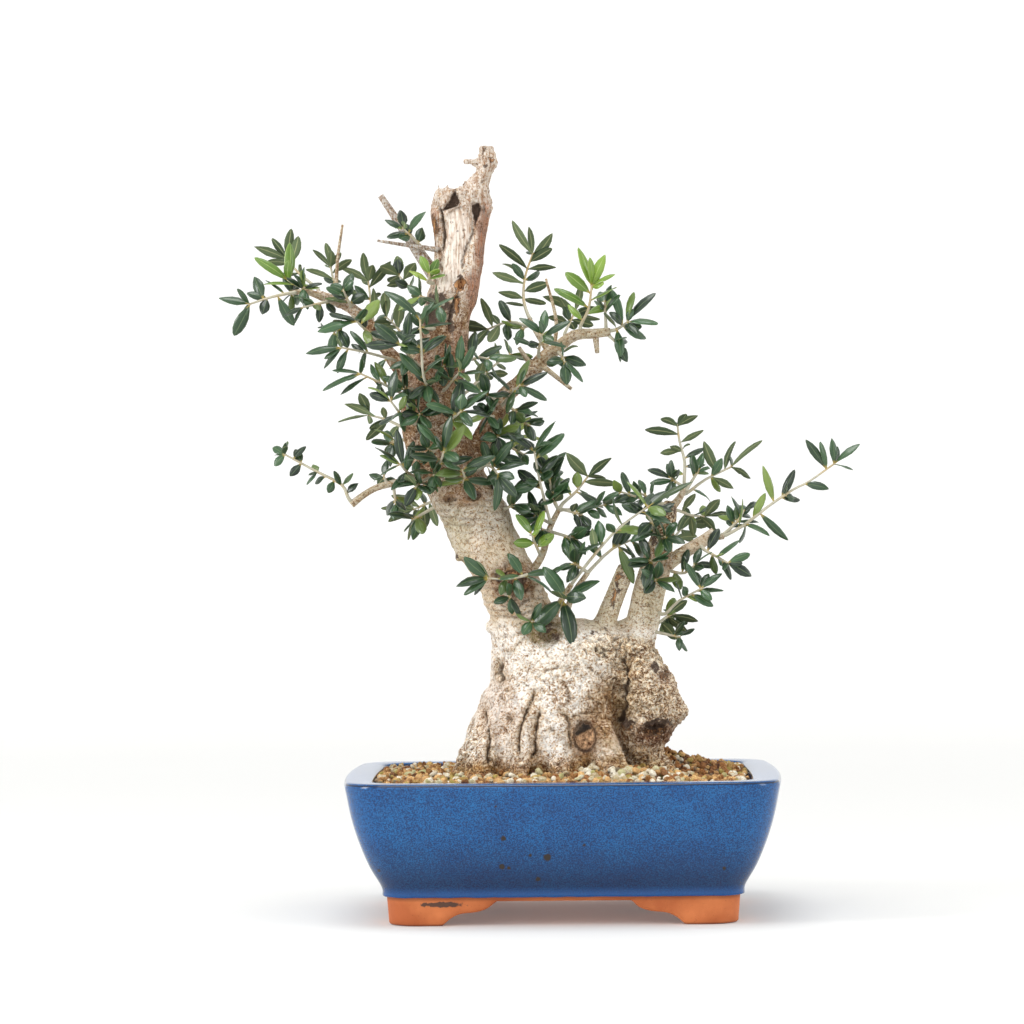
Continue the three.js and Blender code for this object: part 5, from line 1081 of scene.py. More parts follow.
# Each shoot: the middle line of its twig, the length and width of its leaves, the points that
# leaf tips reach as they look from the front, and how many more leaves fill it up.
SHOOTS = [
    {"name": "upper_left_tip", "leaf": [20, 7],
     "twig": [[-166, -3, 380.5], [-178, -10, 377.5], [-190, -18, 373]],
     "tips": [[-208, 378], [-187, 391], [-181, 389], [-199, 354], [-164, 360]]},
    {"name": "upper_left_young", "leaf": [23, 7], "young": True,
     "twig": [[-157, 5, 383.5], [-163, 4, 386], [-168, 3, 389]],
     "tips": [[-165, 412], [-188, 403], [-155, 386], [-153, 400], [-184, 386]]},
    {"name": "upper_left_high", "leaf": [14, 6.5],
     "twig": [[-150, 8, 384], [-162, 18, 394], [-170, 26, 404]],
     "tips": [[-179, 416], [-190, 411], [-162, 417], [-167, 422], [-182, 402]]},
    {"name": "upper_left_inner", "leaf": [15, 5.5], "more": 1,
     "twig": [[-133, 11, 377], [-140, 22, 388], [-143, 30, 399]],
     "tips": [[-154, 409], [-145, 413], [-130, 403], [-158, 396], [-130, 391]]},
    {"name": "upper_left_under", "leaf": [14, 5],
     "twig": [[-142, -1, 375.5], [-150, -10, 373], [-157, -18, 371]],
     "tips": [[-170, 366], [-162, 379], [-148, 362], [-139, 368]]},
    {"name": "crown_left_a", "leaf": [17, 6], "more": 1,
     "twig": [[-116, 12, 364], [-118, 26, 377], [-120, 36, 390]],
     "tips": [[-136, 400], [-105, 401], [-113, 384], [-133, 385], [-124, 407]]},
    {"name": "crown_left_b", "leaf": [14, 7],
     "twig": [[-86, 14, 376], [-94, 24, 385], [-101, 32, 393]],
     "tips": [[-112, 399], [-101, 405], [-90, 400], [-108, 386], [-90, 382]]},
    {"name": "crown_left_c", "leaf": [20, 8],
     "twig": [[-113, -1, 352], [-119, -16, 357], [-124, -28, 362]],
     "tips": [[-148, 357], [-126, 345], [-110, 375], [-141, 368], [-100, 350]]},
    {"name": "crown_left_d", "leaf": [17, 5],
     "twig": [[-103, -2, 339], [-118, -16, 343], [-134, -28, 346]],
     "tips": [[-155, 343], [-146, 335], [-137, 331], [-128, 357], [-116, 330]]},
    {"name": "crown_left_e", "leaf": [13, 7],
     "twig": [[-129, 1, 373], [-131, -4, 377], [-133, -7, 382]],
     "tips": [[-143, 384], [-128, 393], [-145, 374], [-120, 380]]},
    {"name": "left_mid_a", "leaf": [18, 5],
     "twig": [[-97, -10, 318], [-109, -22, 324], [-122, -32, 330]],
     "tips": [[-145, 321], [-134, 317], [-139, 332], [-112, 339], [-106, 315]]},
    {"name": "left_mid_b", "leaf": [17, 6],
     "twig": [[-98, 8, 298], [-109, 18, 303], [-120, 26, 306]],
     "tips": [[-139, 302], [-125, 320], [-134, 314], [-122, 291], [-106, 292]]},
    {"name": "left_mid_c", "leaf": [18, 7],
     "twig": [[-91, -18, 300], [-98, -30, 306], [-103, -42, 313]],
     "tips": [[-100, 332], [-90, 317], [-116, 322], [-112, 300], [-94, 294]]},
    {"name": "left_low_a", "leaf": [17, 6],
     "twig": [[-89, -16, 267], [-94, -28, 270], [-98, -38, 275]],
     "tips": [[-112, 286], [-100, 296], [-91, 289], [-115, 267], [-84, 275], [-104, 260]]},
    {"name": "left_low_b", "leaf": [17, 6.5],
     "twig": [[-78, 14, 253], [-86, 24, 250], [-93, 30, 247]],
     "tips": [[-113, 248], [-109, 240], [-98, 229], [-86, 236], [-78, 237], [-106, 257]]},
    {"name": "left_branch", "leaf": [10, 5], "more": 1, "bare": 0.05,
     "twig": [[-131, -11.5, 255], [-135, -12, 263], [-150, -12, 271], [-160, -13, 276.5],
              [-170, -14, 282]],
     "tips": [[-168, 290], [-176, 275], [-166, 268], [-157, 287], [-152, 264], [-156, 263], [-177, 286],
              [-163, 285], [-139, 271], [-125, 264], [-143, 258], [-128, 270]]},
    {"name": "front_sprig", "leaf": [21, 6.5], "more": 1, "bare": 0.3,
     "twig": [[-79, -19, 318], [-83, -36, 327], [-84, -44, 345], [-84.5, -46, 362]],
     "tips": [[-104, 381], [-66, 377], [-66, 361], [-101, 356], [-70, 352], [-98, 341], [-71, 339]]},
    {"name": "front_high", "leaf": [18, 7], "more": 1,
     "twig": [[-71, -16, 320], [-66, -30, 325], [-61, -42, 330]],
     "tips": [[-46, 330], [-52, 345], [-60, 352], [-48, 318], [-68, 343]]},
    {"name": "front_mid", "leaf": [20, 8], "more": 1,
     "twig": [[-72, -20, 298], [-66, -36, 302], [-60, -48, 306]],
     "tips": [[-45, 320], [-80, 312], [-42, 305], [-60, 324], [-54, 290]]},
    {"name": "front_low_a", "leaf": [21, 8],
     "twig": [[-76, -20, 274], [-73, -36, 277], [-71, -46, 282]],
     "tips": [[-87, 299], [-58, 297], [-91, 280], [-56, 284], [-66, 303]]},
    {"name": "front_low_b", "leaf": [20, 8],
     "twig": [[-60, -21, 263], [-59, -34, 266], [-60, -44, 271]],
     "tips": [[-84, 262], [-40, 279], [-52, 253], [-41, 264], [-76, 270]]},
    {"name": "front_low_c", "leaf": [19, 7],
     "twig": [[-47, -15, 274], [-42, -28, 272], [-39, -38, 268]],
     "tips": [[-40, 246], [-22, 276], [-28, 254], [-50, 256], [-30, 287]]},
    {"name": "middle_left", "leaf": [18, 7], "more": 1,
     "twig": [[-86, -16, 334], [-92, -30, 340], [-97, -40, 347]],
     "tips": [[-112, 360], [-90, 368], [-118, 346], [-80, 352], [-104, 333]]},
    {"name": "branch_front_a", "leaf": [17, 6],
     "twig": [[-36, -3, 311], [-31, -18, 317], [-25, -30, 322]],
     "tips": [[-42, 331], [-8, 329], [-34, 305], [-9, 312], [-20, 338]]},
    {"name": "branch_front_b", "leaf": [15, 6], "young": True,
     "twig": [[-44, 13, 296], [-36, 24, 294], [-28, 32, 292]],
     "tips": [[-20, 305], [-44, 281], [-13, 290], [-34, 308], [-26, 278]]},
    {"name": "middle_fork", "leaf": [18, 7], "more": 1,
     "twig": [[-8, -11.5, 240], [-12, -16, 256], [-15, -20, 270], [-17, -22, 283]],
     "tips": [[-5, 301], [1, 293], [-32, 296], [-4, 280], [-28, 270], [-30, 258], [2, 262], [-27, 246]]},
    {"name": "middle_end", "leaf": [17, 6.5],
     "twig": [[0, -5.5, 250], [8, 2, 257], [16, 12, 267]],
     "tips": [[2, 281], [30, 278], [25, 247], [34, 262], [-2, 268]]},
    {"name": "middle_low", "leaf": [14, 7], "young": True,
     "twig": [[-14, -11.5, 219], [-17, -20, 226], [-19, -28, 232]],
     "tips": [[-28, 244], [-12, 246], [-30, 227], [-6, 232]]},
    {"name": "crotch_a", "leaf": [20, 7], "more": 1, "bare": 0.2,
     "twig": [[6.5, -21, 203], [20, -28, 220], [34, -34, 235], [52, -38, 248]],
     "tips": [[39, 263], [78, 264], [66, 240], [30, 253], [60, 262], [22, 240], [7, 222], [50, 234],
              [12, 238]]},
    {"name": "crotch_b", "leaf": [19, 7], "bare": 0.25,
     "twig": [[17, -16, 210], [30, -10, 222], [46, -2, 229]],
     "tips": [[46, 211], [58, 216], [44, 201], [62, 235], [40, 240], [16, 226]]},
    {"name": "crotch_leaves", "leaf": [29, 11], "bare": 0.4,
     "twig": [[-1, -23.5, 190], [0, -26, 192], [1, -27.5, 194]],
     "tips": [[5, 163], [-20, 175]]},
    {"name": "trunk_front", "leaf": [18, 6.5], "bare": 0.1,
     "twig": [[-22, -26.5, 207], [-34, -30.5, 204.5], [-46, -33, 205.5]],
     "tips": [[-61, 217], [-65, 201], [-34, 217], [-27, 208], [-25, 193], [-60, 195], [-5, 198],
              [-6, 209]]},
    {"name": "crown_right_high", "leaf": [17, 6], "bare": 0.15,
     "twig": [[-20.5, 5, 366.5], [-23, 10, 376], [-22, 16, 390], [-17, 20, 405]],
     "tips": [[-31, 424], [-22, 421], [-8, 419], [-37, 411], [-5, 409], [-3, 397], [-36, 399], [-42, 393],
              [-8, 386], [-38, 381], [-34, 375], [-10, 374]]},
    {"name": "crown_right_young", "leaf": [17, 6.5], "young": True,
     "twig": [[12, 1, 359], [17, -6, 369], [19, -14, 383]],
     "tips": [[11, 406], [19, 399], [26, 402], [33, 392], [34, 382], [3, 391], [-3, 383], [4, 372],
              [30, 371]]},
    {"name": "crown_right_end", "leaf": [17, 6.5],
     "twig": [[33, 0.5, 356], [37, -3, 358], [41, -8, 361]],
     "tips": [[58, 378], [59, 361], [52, 350], [37, 340], [32, 381], [44, 379], [27, 367]]},
    {"name": "crown_right_core", "leaf": [15, 6.5],
     "twig": [[2, 8, 354], [5, 20, 361], [9, 32, 370]],
     "tips": [[-10, 381], [13, 386], [22, 372], [-8, 366], [20, 360], [0, 378], [24, 364]]},
    {"name": "crown_right_left", "leaf": [16, 6],
     "twig": [[-14, -1.5, 341], [-13, -16, 347], [-11, -28, 353]],
     "tips": [[-9, 368], [5, 362], [-29, 351], [3, 346], [-24, 364]]},
    {"name": "crown_right_hanging", "leaf": [14, 7],
     "twig": [[-1, -2, 341.5], [1, -12, 339], [2, -20, 336]],
     "tips": [[3, 322], [-10, 336], [11, 322], [10, 346], [15, 334]]},
    {"name": "crown_gap_twig", "leaf": [18, 7], "bare": 0.4,
     "twig": [[-20, 2, 359], [-32, 7, 362], [-46, 13, 357.5]],
     "tips": [[-49, 377], [-68, 361], [-56, 346], [-32, 350], [-36, 374]]},
    {"name": "crown_gap_low", "leaf": [17, 7],
     "twig": [[-56, -17, 338], [-50, -26, 339], [-44, -32, 338]],
     "tips": [[-52, 356], [-27, 339], [-38, 325], [-36, 346]]},
    {"name": "jin_shoot", "leaf": [12, 7],
     "twig": [[-86, -2.5, 409], [-91, -8, 414], [-96, -14, 419]],
     "tips": [[-107, 424], [-97, 430], [-83, 430], [-106, 414], [-84, 420]]},
    {"name": "jin_foot", "leaf": [12, 5], "young": True,
     "twig": [[-81, -9, 386], [-80, -13, 388], [-79.5, -15, 391]],
     "tips": [[-85, 402], [-75, 400], [-92, 394], [-70, 390]]},
    {"name": "right_top", "leaf": [15, 5.5],
     "twig": [[74.5, 0.5, 263], [75, 6, 275], [72, 10, 288], [71, 12, 298]],
     "tips": [[61, 302], [83, 305], [51, 296], [87, 294], [87, 284], [60, 281], [64, 268], [88, 273]]},
    {"name": "right_upper", "leaf": [18, 6],
     "twig": [[76, 4.5, 255.5], [88, 12, 264], [105, 22, 272]],
     "tips": [[86, 287], [105, 288], [121, 290], [116, 265], [105, 258], [92, 252]]},
    {"name": "right_long", "leaf": [17, 5.5], "bare": 0.1,
     "twig": [[100, -9, 230], [112, -12, 237], [125, -14, 247], [140, -15, 257], [150, -15, 262],
              [166, -14, 273]],
     "tips": [[181, 285], [168, 288], [149, 288], [159, 286], [142, 269], [122, 272], [145, 251],
              [124, 255], [110, 251], [137, 226], [125, 229], [161, 258], [108, 224]]},
    {"name": "right_middle", "leaf": [16, 6],
     "twig": [[71, 6, 245], [79, 18, 242], [88, 30, 241]],
     "tips": [[97, 252], [105, 243], [82, 255], [97, 230], [81, 229], [70, 232]]},
    {"name": "right_cluster", "leaf": [12, 6],
     "twig": [[86, -13.5, 221], [93, -22, 217], [100, -30, 213]],
     "tips": [[95, 234], [113, 219], [114, 205], [102, 203], [92, 206], [107, 227]]},
    {"name": "right_low_a", "leaf": [14, 5.5], "bare": 0.3,
     "twig": [[62, -6, 182], [70, -16, 190], [84, -26, 198]],
     "tips": [[74, 213], [96, 207], [97, 197], [91, 187], [68, 202]]},
    {"name": "right_low_b", "leaf": [15, 7.5],
     "twig": [[58, 6, 176], [64, 16, 180], [69, 24, 181]],
     "tips": [[69, 166], [60, 168], [77, 170], [83, 177], [76, 190]]},
    {"name": "right_inner", "leaf": [15, 6],
     "twig": [[66, -7, 208], [74, -12, 207], [80, -18, 212]],
     "tips": [[90, 220], [86, 199], [94, 211], [74, 222], [70, 197]]},
    {"name": "stem_front", "leaf": [17, 7], "more": 1,
     "twig": [[56, -10, 232], [54, -22, 238], [51, -32, 243]],
     "tips": [[68, 250], [36, 250], [60, 226], [42, 228]]},
    {"name": "back_low", "leaf": [18, 7], "more": 8,
     "twig": [[-80, 44, 294], [-76, 50, 303], [-68, 54, 312]]},
    {"name": "back_high", "leaf": [18, 7], "more": 8,
     "twig": [[-96, 39, 350], [-102, 44, 360], [-110, 48, 368]]},
    {"name": "back_middle", "leaf": [18, 7], "more": 8,
     "twig": [[-61, 19, 318], [-53, 34, 326], [-43, 46, 336], [-32, 54, 344]]},
    {"name": "back_right", "leaf": [17, 7], "more": 8,
     "twig": [[58, 13, 214], [64, 26, 222], [72, 38, 232], [80, 47, 238]]},
]
NODE_SPACING = 6  # between two pairs of leaves
BARE_FOOT, BUD = 0.12, 1  # the share of a twig below its first leaves, and its length above the last
# Ways in which a leaf clears its neighbours: turned sideways, turned up or down, and shortened.
BENDS = [(0, 0, 1), (0.22, 0, 1), (-0.22, 0, 1), (0, 0.25, 1), (0, -0.25, 1), (0.45, 0, 1), (-0.45, 0, 1),
         (0, 0.5, 1), (0, -0.5, 1), (0.3, 0.4, 0.85), (-0.3, 0.4, 0.85), (0.3, -0.4, 0.85),
         (-0.3, -0.4, 0.85), (0, 0, 0.7), (0.5, 0, 0.7), (-0.5, 0, 0.7), (0, 0.6, 0.7), (0, -0.6, 0.7),
         (0.8, 0, 0.7), (-0.8, 0, 0.7), (0, 0.9, 0.6), (0, -0.9, 0.6)]
MORE_LEAVES = {"leaf": 4, "young_leaf": 1}  # small leaves on each shoot besides those of its solid
LEAF_THICK = 0.35


def draws(seed):
    """Repeatable draws between 0 and 1."""
    while True:
        seed = (seed * 1664525 + 1013904223) % 2**32
        yield seed / 2**32


def unit(vector):
    """The vector made one long."""
    return vector / np.linalg.norm(vector)


def along_twig(twig, share):
    """The point and the direction at a share of the way along a twig."""
    runs = np.diff(np.array(twig, float), axis=0)
    lengths = np.linalg.norm(runs, axis=1)
    left, i = share * lengths.sum(), 0
    while i < len(lengths) - 1 and left > lengths[i]:
        left -= lengths[i]
        i += 1
    way = runs[i] / lengths[i]
    return np.array(twig[i], float) + way * left, way


def leafy_stretch(shoot):
    """The length of a shoot's twig, and the shares of it below its leaves and along them."""
    total = np.linalg.norm(np.diff(np.array(shoot["twig"], float), axis=0), axis=1).sum()
    bare = shoot.get("bare", BARE_FOOT)
    return total, bare, 1 - BUD / total - bare


def leaf_face(base, axis, random):
    """Where a leaf's upper side looks: upwards and out of the crown, square to its length."""
    side = 1 if base[1] > 8 else -1
    face = np.array([next(random) - 0.5, side * (0.15 + 0.85 * next(random)), 0.2 + 0.8 * next(random)])
    return unit(face - axis * (face @ axis))


def fill(shoot, count, size_range, random):
    """Leaves in opposite pairs from the twig's end downwards, as base and tip."""
    _, bare, leafy = leafy_stretch(shoot)
    for i in range(count):
        at, way = along_twig(shoot["twig"], bare + leafy * (1 - i // 2 / ceil(count / 2)))
        across = unit(np.cross([way[2], 0.3, -way[0]], way))
        turn = i // 2 * pi / 2 + i % 2 * pi + 0.9 * next(random)
        lean = 0.7 + 0.5 * next(random)
        size = shoot["leaf"][0] * (size_range[0] + (size_range[1] - size_range[0]) * next(random))
        round_it = across * cos(turn) + np.cross(way, across) * sin(turn)
        yield at, at + size * (way * cos(lean) + round_it * sin(lean))


def leaves_of(shoot, number):
    """The shoot's leaves, each with its base, tip, face and width: first those with a given tip,
    which grow where they reach it best, then the ones that fill it up."""
    random = draws(7919 * (number + 1))
    length, width = shoot["leaf"]
    total, bare, leafy = leafy_stretch(shoot)
    nodes = max(3, floor(total / NODE_SPACING + 0.5) + 1)
    used = [0] * nodes
    found = []
    for x, z in shoot.get("tips", []):
        size = length * (0.85 + 0.3 * next(random))
        side = -1 if next(random) < 0.5 else 1
        best = None
        for j in range(nodes):
            at, way = along_twig(shoot["twig"], bare + leafy * j / (nodes - 1))
            shown = np.hypot(x - at[0], z - at[2])
            forward = ((x - at[0]) * way[0] + (z - at[2]) * way[2]) / shown
            cost = abs(shown - 0.93 * size) + 8 * max(0, -forward) + 2.5 * used[j]
            if best is None or cost < best[0]:
                best = cost, at, shown, j
        cost, at, shown, j = best
        used[j] += 1
        away = min(sqrt(max(0, size * size - shown * shown)), 0.8 * shown)
        found.append((at, np.array([x, at[1] + side * away, z])))
    found += fill(shoot, shoot.get("more", 0), (0.65, 1), random)
    leaves = []
    for base, tip in found:
        axis = unit(tip - base)
        base = base + 0.2 * axis
        face = leaf_face(base, axis, random)
        leaves.append((base, tip, face, width * (0.85 + 0.3 * next(random))))
    return leaves


def bent(leaf, sideways, upwards, shorter):
    """The leaf turned and shortened in one of the ways of BENDS."""
    base, tip, face, width = leaf
    axis = unit(tip - base)
    turned = unit(axis + sideways * np.cross(face, axis) + upwards * face)
    end = base + turned * shorter * np.linalg.norm(tip - base)
    return base, end, unit(face - turned * (face @ turned)), width * shorter


def leaf_template():
    """A flat leaf two units wide and one long with an upper and a lower side, x across, y along. Its
    rows lie closer at both ends, where the outline turns fast."""
    bm = bmesh.new()
    bmesh.ops.create_grid(bm, x_segments=4, y_segments=7, size=1)
    for vert in bm.verts:
        vert.co.y = sin(pi / 2 * vert.co.y)
    bmesh.ops.translate(bm, verts=bm.verts, vec=(0, 1, 0))
    bmesh.ops.scale(bm, verts=bm.verts, vec=(1, 0.5, 1))
    bmesh.ops.solidify(bm, geom=bm.faces[:], thickness=1)
    shape = bm.verts.layers.float_color.new("blade")
    top = max(vert.co.z for vert in bm.verts)
    for vert in bm.verts:
        vert[shape] = (vert.co.x / 2 + 0.5, vert.co.y, top - vert.co.z, 1)
    for face in bm.faces:
        face.material_index = int(face.calc_center_median().z < top - 0.7)
    mesh = bpy.data.meshes.new("leaf_template")
    bm.to_mesh(mesh)
    bm.free()
    return mesh


def blade_points(shape, leaf, random):
    """The template's points as they lie on one leaf: its outline, the bow along it, the fold of its
    halves, its rolled edges and a slight twist."""
    base, tip, face, width = leaf
    across, along, under = 2 * shape[:, 0] - 1, shape[:, 1], shape[:, 2]
    size, axis = np.linalg.norm(tip - base), unit(tip - base)
    side = np.cross(face, axis)
    share = np.clip((along - 0.08) / 0.92, 0, 1)
    half = np.sin(pi * share ** (0.85 + 0.3 * next(random))) ** (0.5 + 0.3 * next(random)) * width / 2
    half = np.maximum(half, 0.42 * (1 - smooth_step(along, 0.1, 0.25)) + 0.1)
    folded = 0.05 + 0.35 * next(random) ** 2
    lift = half * (folded * np.abs(across) - 0.32 * np.clip(np.abs(across) - 0.5, 0, 1) ** 2 * 4)
    lift += size * (0.03 + 0.06 * next(random)) * 4 * along * (1 - along)
    lift -= size * 0.16 * next(random) ** 2 * along ** 2
    lift += 0.03 * width * np.sin(9 * along + 6 * next(random)) * across
    turn = (next(random) - 0.5) * 1.1 * (along - 0.3)
    sideways = 0.12 * (next(random) - 0.5) * size * along * along
    thick = LEAF_THICK * under * (1 - 0.6 * np.abs(across))
    flat = np.cos(turn)[:, None] * side + np.sin(turn)[:, None] * face
    over = np.cos(turn)[:, None] * face - np.sin(turn)[:, None] * side
    points = base + axis * (along * size)[:, None] + side * sideways[:, None]
    return points + flat * (across * half)[:, None] + over * (lift - thick)[:, None]


def read_tone(tree):
    """The numbers of 0 to 1 that each leaf and twig was given: dull to bright, green to olive, and on a
    twig, nearness to a leaf's base.
    """
    tone = add(tree, "Attribute", attribute_name="tone")
    return add(tree, "SeparateColor", {0: tone}).outputs


def read_blade(tree):
    """Where a point lies on its leaf: 0 on the midrib to 1 on the edge, and 0 to 1 along it."""
    blade = add(tree, "Attribute", attribute_name="blade")
    across, along, _ = add(tree, "SeparateColor", {0: blade}).outputs
    off = add(tree, "Math", {0: across, 1: 2, 2: -1}, operation="MULTIPLY_ADD")
    return add(tree, "Math", {0: off}, operation="ABSOLUTE"), along


# A leaf's upper side: a waxed cuticle over deep green, so it shines in broad soft lights.
def make_leaf_top(name, colours, rib, edge):
    made, tree, place = new_material(name)
    tone = read_tone(tree)
    off, along = read_blade(tree)
    blotch = add(tree, "TexNoise", {"Vector": place, "Scale": 1000 / 5, "Detail": 3})
    dull = add(tree, "Math", {0: blotch, 1: 0.5, 2: tone[0]}, operation="MULTIPLY_ADD")
    dull = add(tree, "MapRange", {0: dull, 1: 0.2, 2: 1.25})
    green = add(tree, "Mix", {0: dull, 6: colours[0], 7: colours[1]})
    olive = add(tree, "MapRange", {0: tone[1], 1: 0.86, 2: 0.97, 4: 0.9})
    near_rib = add(tree, "MapRange", {0: off, 1: 0.09, 2: 0.03, 4: 0.45})
    near_edge = add(tree, "MapRange", {0: off, 1: 0.86, 2: 0.98, 4: 0.55})
    stalk = add(tree, "MapRange", {0: along, 1: 0.16, 2: 0.06, 4: 0.85})
    for share, tint in ((olive, colours[2]), (near_rib, rib), (near_edge, edge), (stalk, "#b9a04e")):
        green = add(tree, "Mix", {0: share, 6: green, 7: tint})
    fine = add(tree, "TexNoise", {"Vector": place, "Scale": 1000 / 1.2, "Detail": 2})
    bump = add(tree, "Bump", {"Strength": 0.25, "Distance": 0.0003, "Height": fine})
    shader = add(tree, "BsdfPrincipled", {"Base Color": green, "Roughness": 0.42, "IOR": 1.42,
                                          "Coat Weight": 0.55, "Coat Roughness": 0.12, "Normal": bump})
    add(tree, "OutputMaterial", {0: shader})
    return made


# A leaf's underside: a felt of tiny scales, so it is pale, greyish and dull. The felt is drawn
# half a millimetre coarse, so that it shows.
def make_leaf_under(name, colours, rib):
    made, tree, place = new_material(name)
    tone = read_tone(tree)
    off, _ = read_blade(tree)
    green = add(tree, "Mix", {0: tone[0], 6: colours[0], 7: colours[1]})
    near_rib = add(tree, "MapRange", {0: off, 1: 0.14, 2: 0.05, 4: 0.8})
    green = add(tree, "Mix", {0: near_rib, 6: green, 7: rib})
    felt = add(tree, "TexNoise", {"Vector": place, "Scale": 1000 / 0.5, "Detail": 2})
    bump = add(tree, "Bump", {"Strength": 0.3, "Distance": 0.0002, "Height": felt})
    shader = add(tree, "BsdfPrincipled", {"Base Color": green, "Roughness": 0.75, "Normal": bump})
    add(tree, "OutputMaterial", {0: shader})
    return made


# The bark of a young twig: smooth and pale grey-green, with warm buds where the leaves sit.
def make_twig_bark():
    made, tree, place = new_material("green_twig_bark")
    tone = read_tone(tree)
    streak = add(tree, "TexNoise", {"Vector": place, "Scale": 1000 / 2.5, "Detail": 3})
    bark = add(tree, "Mix", {0: streak, 6: "#96917a", 7: "#d6d1bd"})
    bark = add(tree, "Mix", {0: tone[2], 6: bark, 7: "#c9a04c"})
    bump = add(tree, "Bump", {"Strength": 0.4, "Distance": 0.0003, "Height": streak})
    shader = add(tree, "BsdfPrincipled", {"Base Color": bark, "Roughness": 0.7, "Normal": bump})
    add(tree, "OutputMaterial", {0: shader})
    return made


twig_bark = make_twig_bark()
LEAF_SKINS = {
    "leaf": (
        make_leaf_top("olive_leaf", ("#0d2112", "#375934", "#7b9140"), "#7a8f5e", "#567048"),
        make_leaf_under("olive_leaf_felt", ("#48593c", "#6f7f58"), "#a3a878"), twig_bark),
    "young_leaf": (
        make_leaf_top("young_olive_leaf", ("#46691f", "#7d9c36", "#a3b850"), "#bccd80", "#a6b964"),
        make_leaf_under("young_olive_leaf_felt", ("#83984a", "#a7b866"), "#ced296"), twig_bark),
}
# The inner shoots: short twigs that fill the crown between the longer ones. Where each ends, how
# many leaves it has and how long they are.
INNER_SHOOTS = [
    [-157, -6, 384, 8, 15], [-166, 8, 381, 5, 15], [-139, -8, 356, 6, 16], [-82, -31, 323, 9, 18],
    [-96, -20, 321, 7, 16], [-71, -30, 334, 7, 17], [-86, -32, 305, 9, 17], [-46, -18, 317, 8, 17],
    [-46, -22, 304, 8, 15], [-39, -16, 291, 8, 17], [-27, 0, 306, 6, 15], [-20, 4, 298, 6, 15],
    [-81, -34, 284, 7, 14], [-106, 0, 288, 6, 15], [-89, -30, 261, 8, 16], [-78, -31, 268, 6, 15],
    [-8, -8, 272, 9, 18], [-5, -10, 256, 9, 17], [-29, -14, 250, 8, 17], [-38, -18, 279, 8, 16],
    [12, -12, 243, 8, 16], [9, -14, 228, 9, 17], [6, -22, 214, 8, 17], [35, -8, 257, 6, 15],
    [47, -6, 256, 6, 15], [66, -8, 265, 8, 15], [84, 0, 270, 5, 15], [27, 0, 374, 6, 17],
    [36, 0, 347, 4, 15], [53, -18, 215, 8, 18], [62, -14, 229, 7, 17], [56, -18, 203, 6, 16],
    [111, -2, 245, 6, 14], [105, 2, 239, 6, 14], [-110, 4, 268, 4, 14], [-102, -4, 250, 5, 16],
    [-92, -8, 241, 5, 17], [-33, -30, 193, 4, 14], [-19, -34, 179, 5, 15], [71, -12, 168, 5, 14],
    [26, -6, 249, 6, 15], [-17, -10, 243, 8, 16], [-12, -10, 234, 7, 15], [-23, -6, 280, 5, 14],
    [-74, -26, 371, 3, 18], [-86, -18, 377, 5, 16], [-25, 4, 357, 5, 15], [-86, -26, 357, 6, 15],
]


def new_foliage():
    """A bmesh for twigs and leaves, whose vertices keep a tone and a place on the blade."""
    bm = bmesh.new()
    for name in ("tone", "blade"):
        bm.verts.layers.float_color.new(name)
    return bm


def grow(bm, twig, leaves, random):
    """Adds a twig that is rooted in the wood, and its leaves."""
    tone, blade = bm.verts.layers.float_color["tone"], bm.verts.layers.float_color["blade"]
    seat, normal, *_ = wood_surface.find_nearest(Vector(on_tree(twig[0])))
    foot = (np.array(seat - normal * 1.5 * MM) - TREE) / MM
    path = [[*foot, 1.3]]
    for i, point in enumerate(twig):
        path.append([*point, 1.05 - 0.5 * i / (len(twig) - 1)])
    start = len(bm.verts)
    loft(bm, [*map(on_tree, rod_rings(path, 8))])
    bm.verts.ensure_lookup_table()
    grown = bm.verts[start:]
    bmesh.ops.recalc_face_normals(bm, faces=list({face for vert in grown for face in vert.link_faces}))
    bases = np.array([leaf[0] for leaf in leaves])
    for vert in grown:
        off = np.linalg.norm(bases - (np.array(vert.co) - TREE) / MM, axis=1).min()
        vert[tone] = (0.5, 0, max(0, 1 - off / 1.3), 1)
        for face in vert.link_faces:
            face.material_index = 2
    for leaf in leaves:
        start = len(bm.verts)
        bm.from_mesh(template)
        bm.verts.ensure_lookup_table()
        grown = bm.verts[start:]
        shape = np.array([vert[blade] for vert in grown])
        shade = (next(random), next(random), 0, 1)
        for vert, point in zip(grown, on_tree(blade_points(shape, leaf, random))):
            vert.co = point
            vert[tone] = shade


def more_leaves(shoot, count, size_range, random):
    """Leaves besides those of the solid, where the wood isn't in their way."""
    for base, tip in fill(shoot, count, size_range, random):
        axis = unit(tip - base)
        start = Vector(on_tree(base + 2 * axis))
        if wood_surface.ray_cast(start, Vector(axis), np.linalg.norm(tip - base) * MM)[0] is None:
            face = leaf_face(base, axis, random)
            face = -face if face[1] > 0 and next(random) < 0.5 else face
            yield base, tip, face, shoot["leaf"][1] * (0.7 + 0.4 * next(random))


template = leaf_template()
for number, shoot in enumerate(SHOOTS):
    slot = "young_leaf" if shoot.get("young") else "leaf"
    node = "shoot_" + shoot["name"]
    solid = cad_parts[node].data
    reach = KDTree(len(solid.vertices))
    for i, vert in enumerate(solid.vertices):
        reach.insert(vert.co, i)
    reach.balance()
    leaves = []
    random = draws(104729 + number)
    for leaf in leaves_of(shoot, number):
        ways = [bent(leaf, *way) for way in BENDS]
        leaves += [one for one in ways if reach.find(on_tree(one[1]))[2] < 0.05 * MM][:1]
    leaves += more_leaves(shoot, MORE_LEAVES[slot], (0.5, 0.85), random)
    bm = new_foliage()
    grow(bm, shoot["twig"], leaves, random)
    piece = new_object(shoot["name"], bm, *LEAF_SKINS[slot])
    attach(piece, "root")
    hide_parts(node)

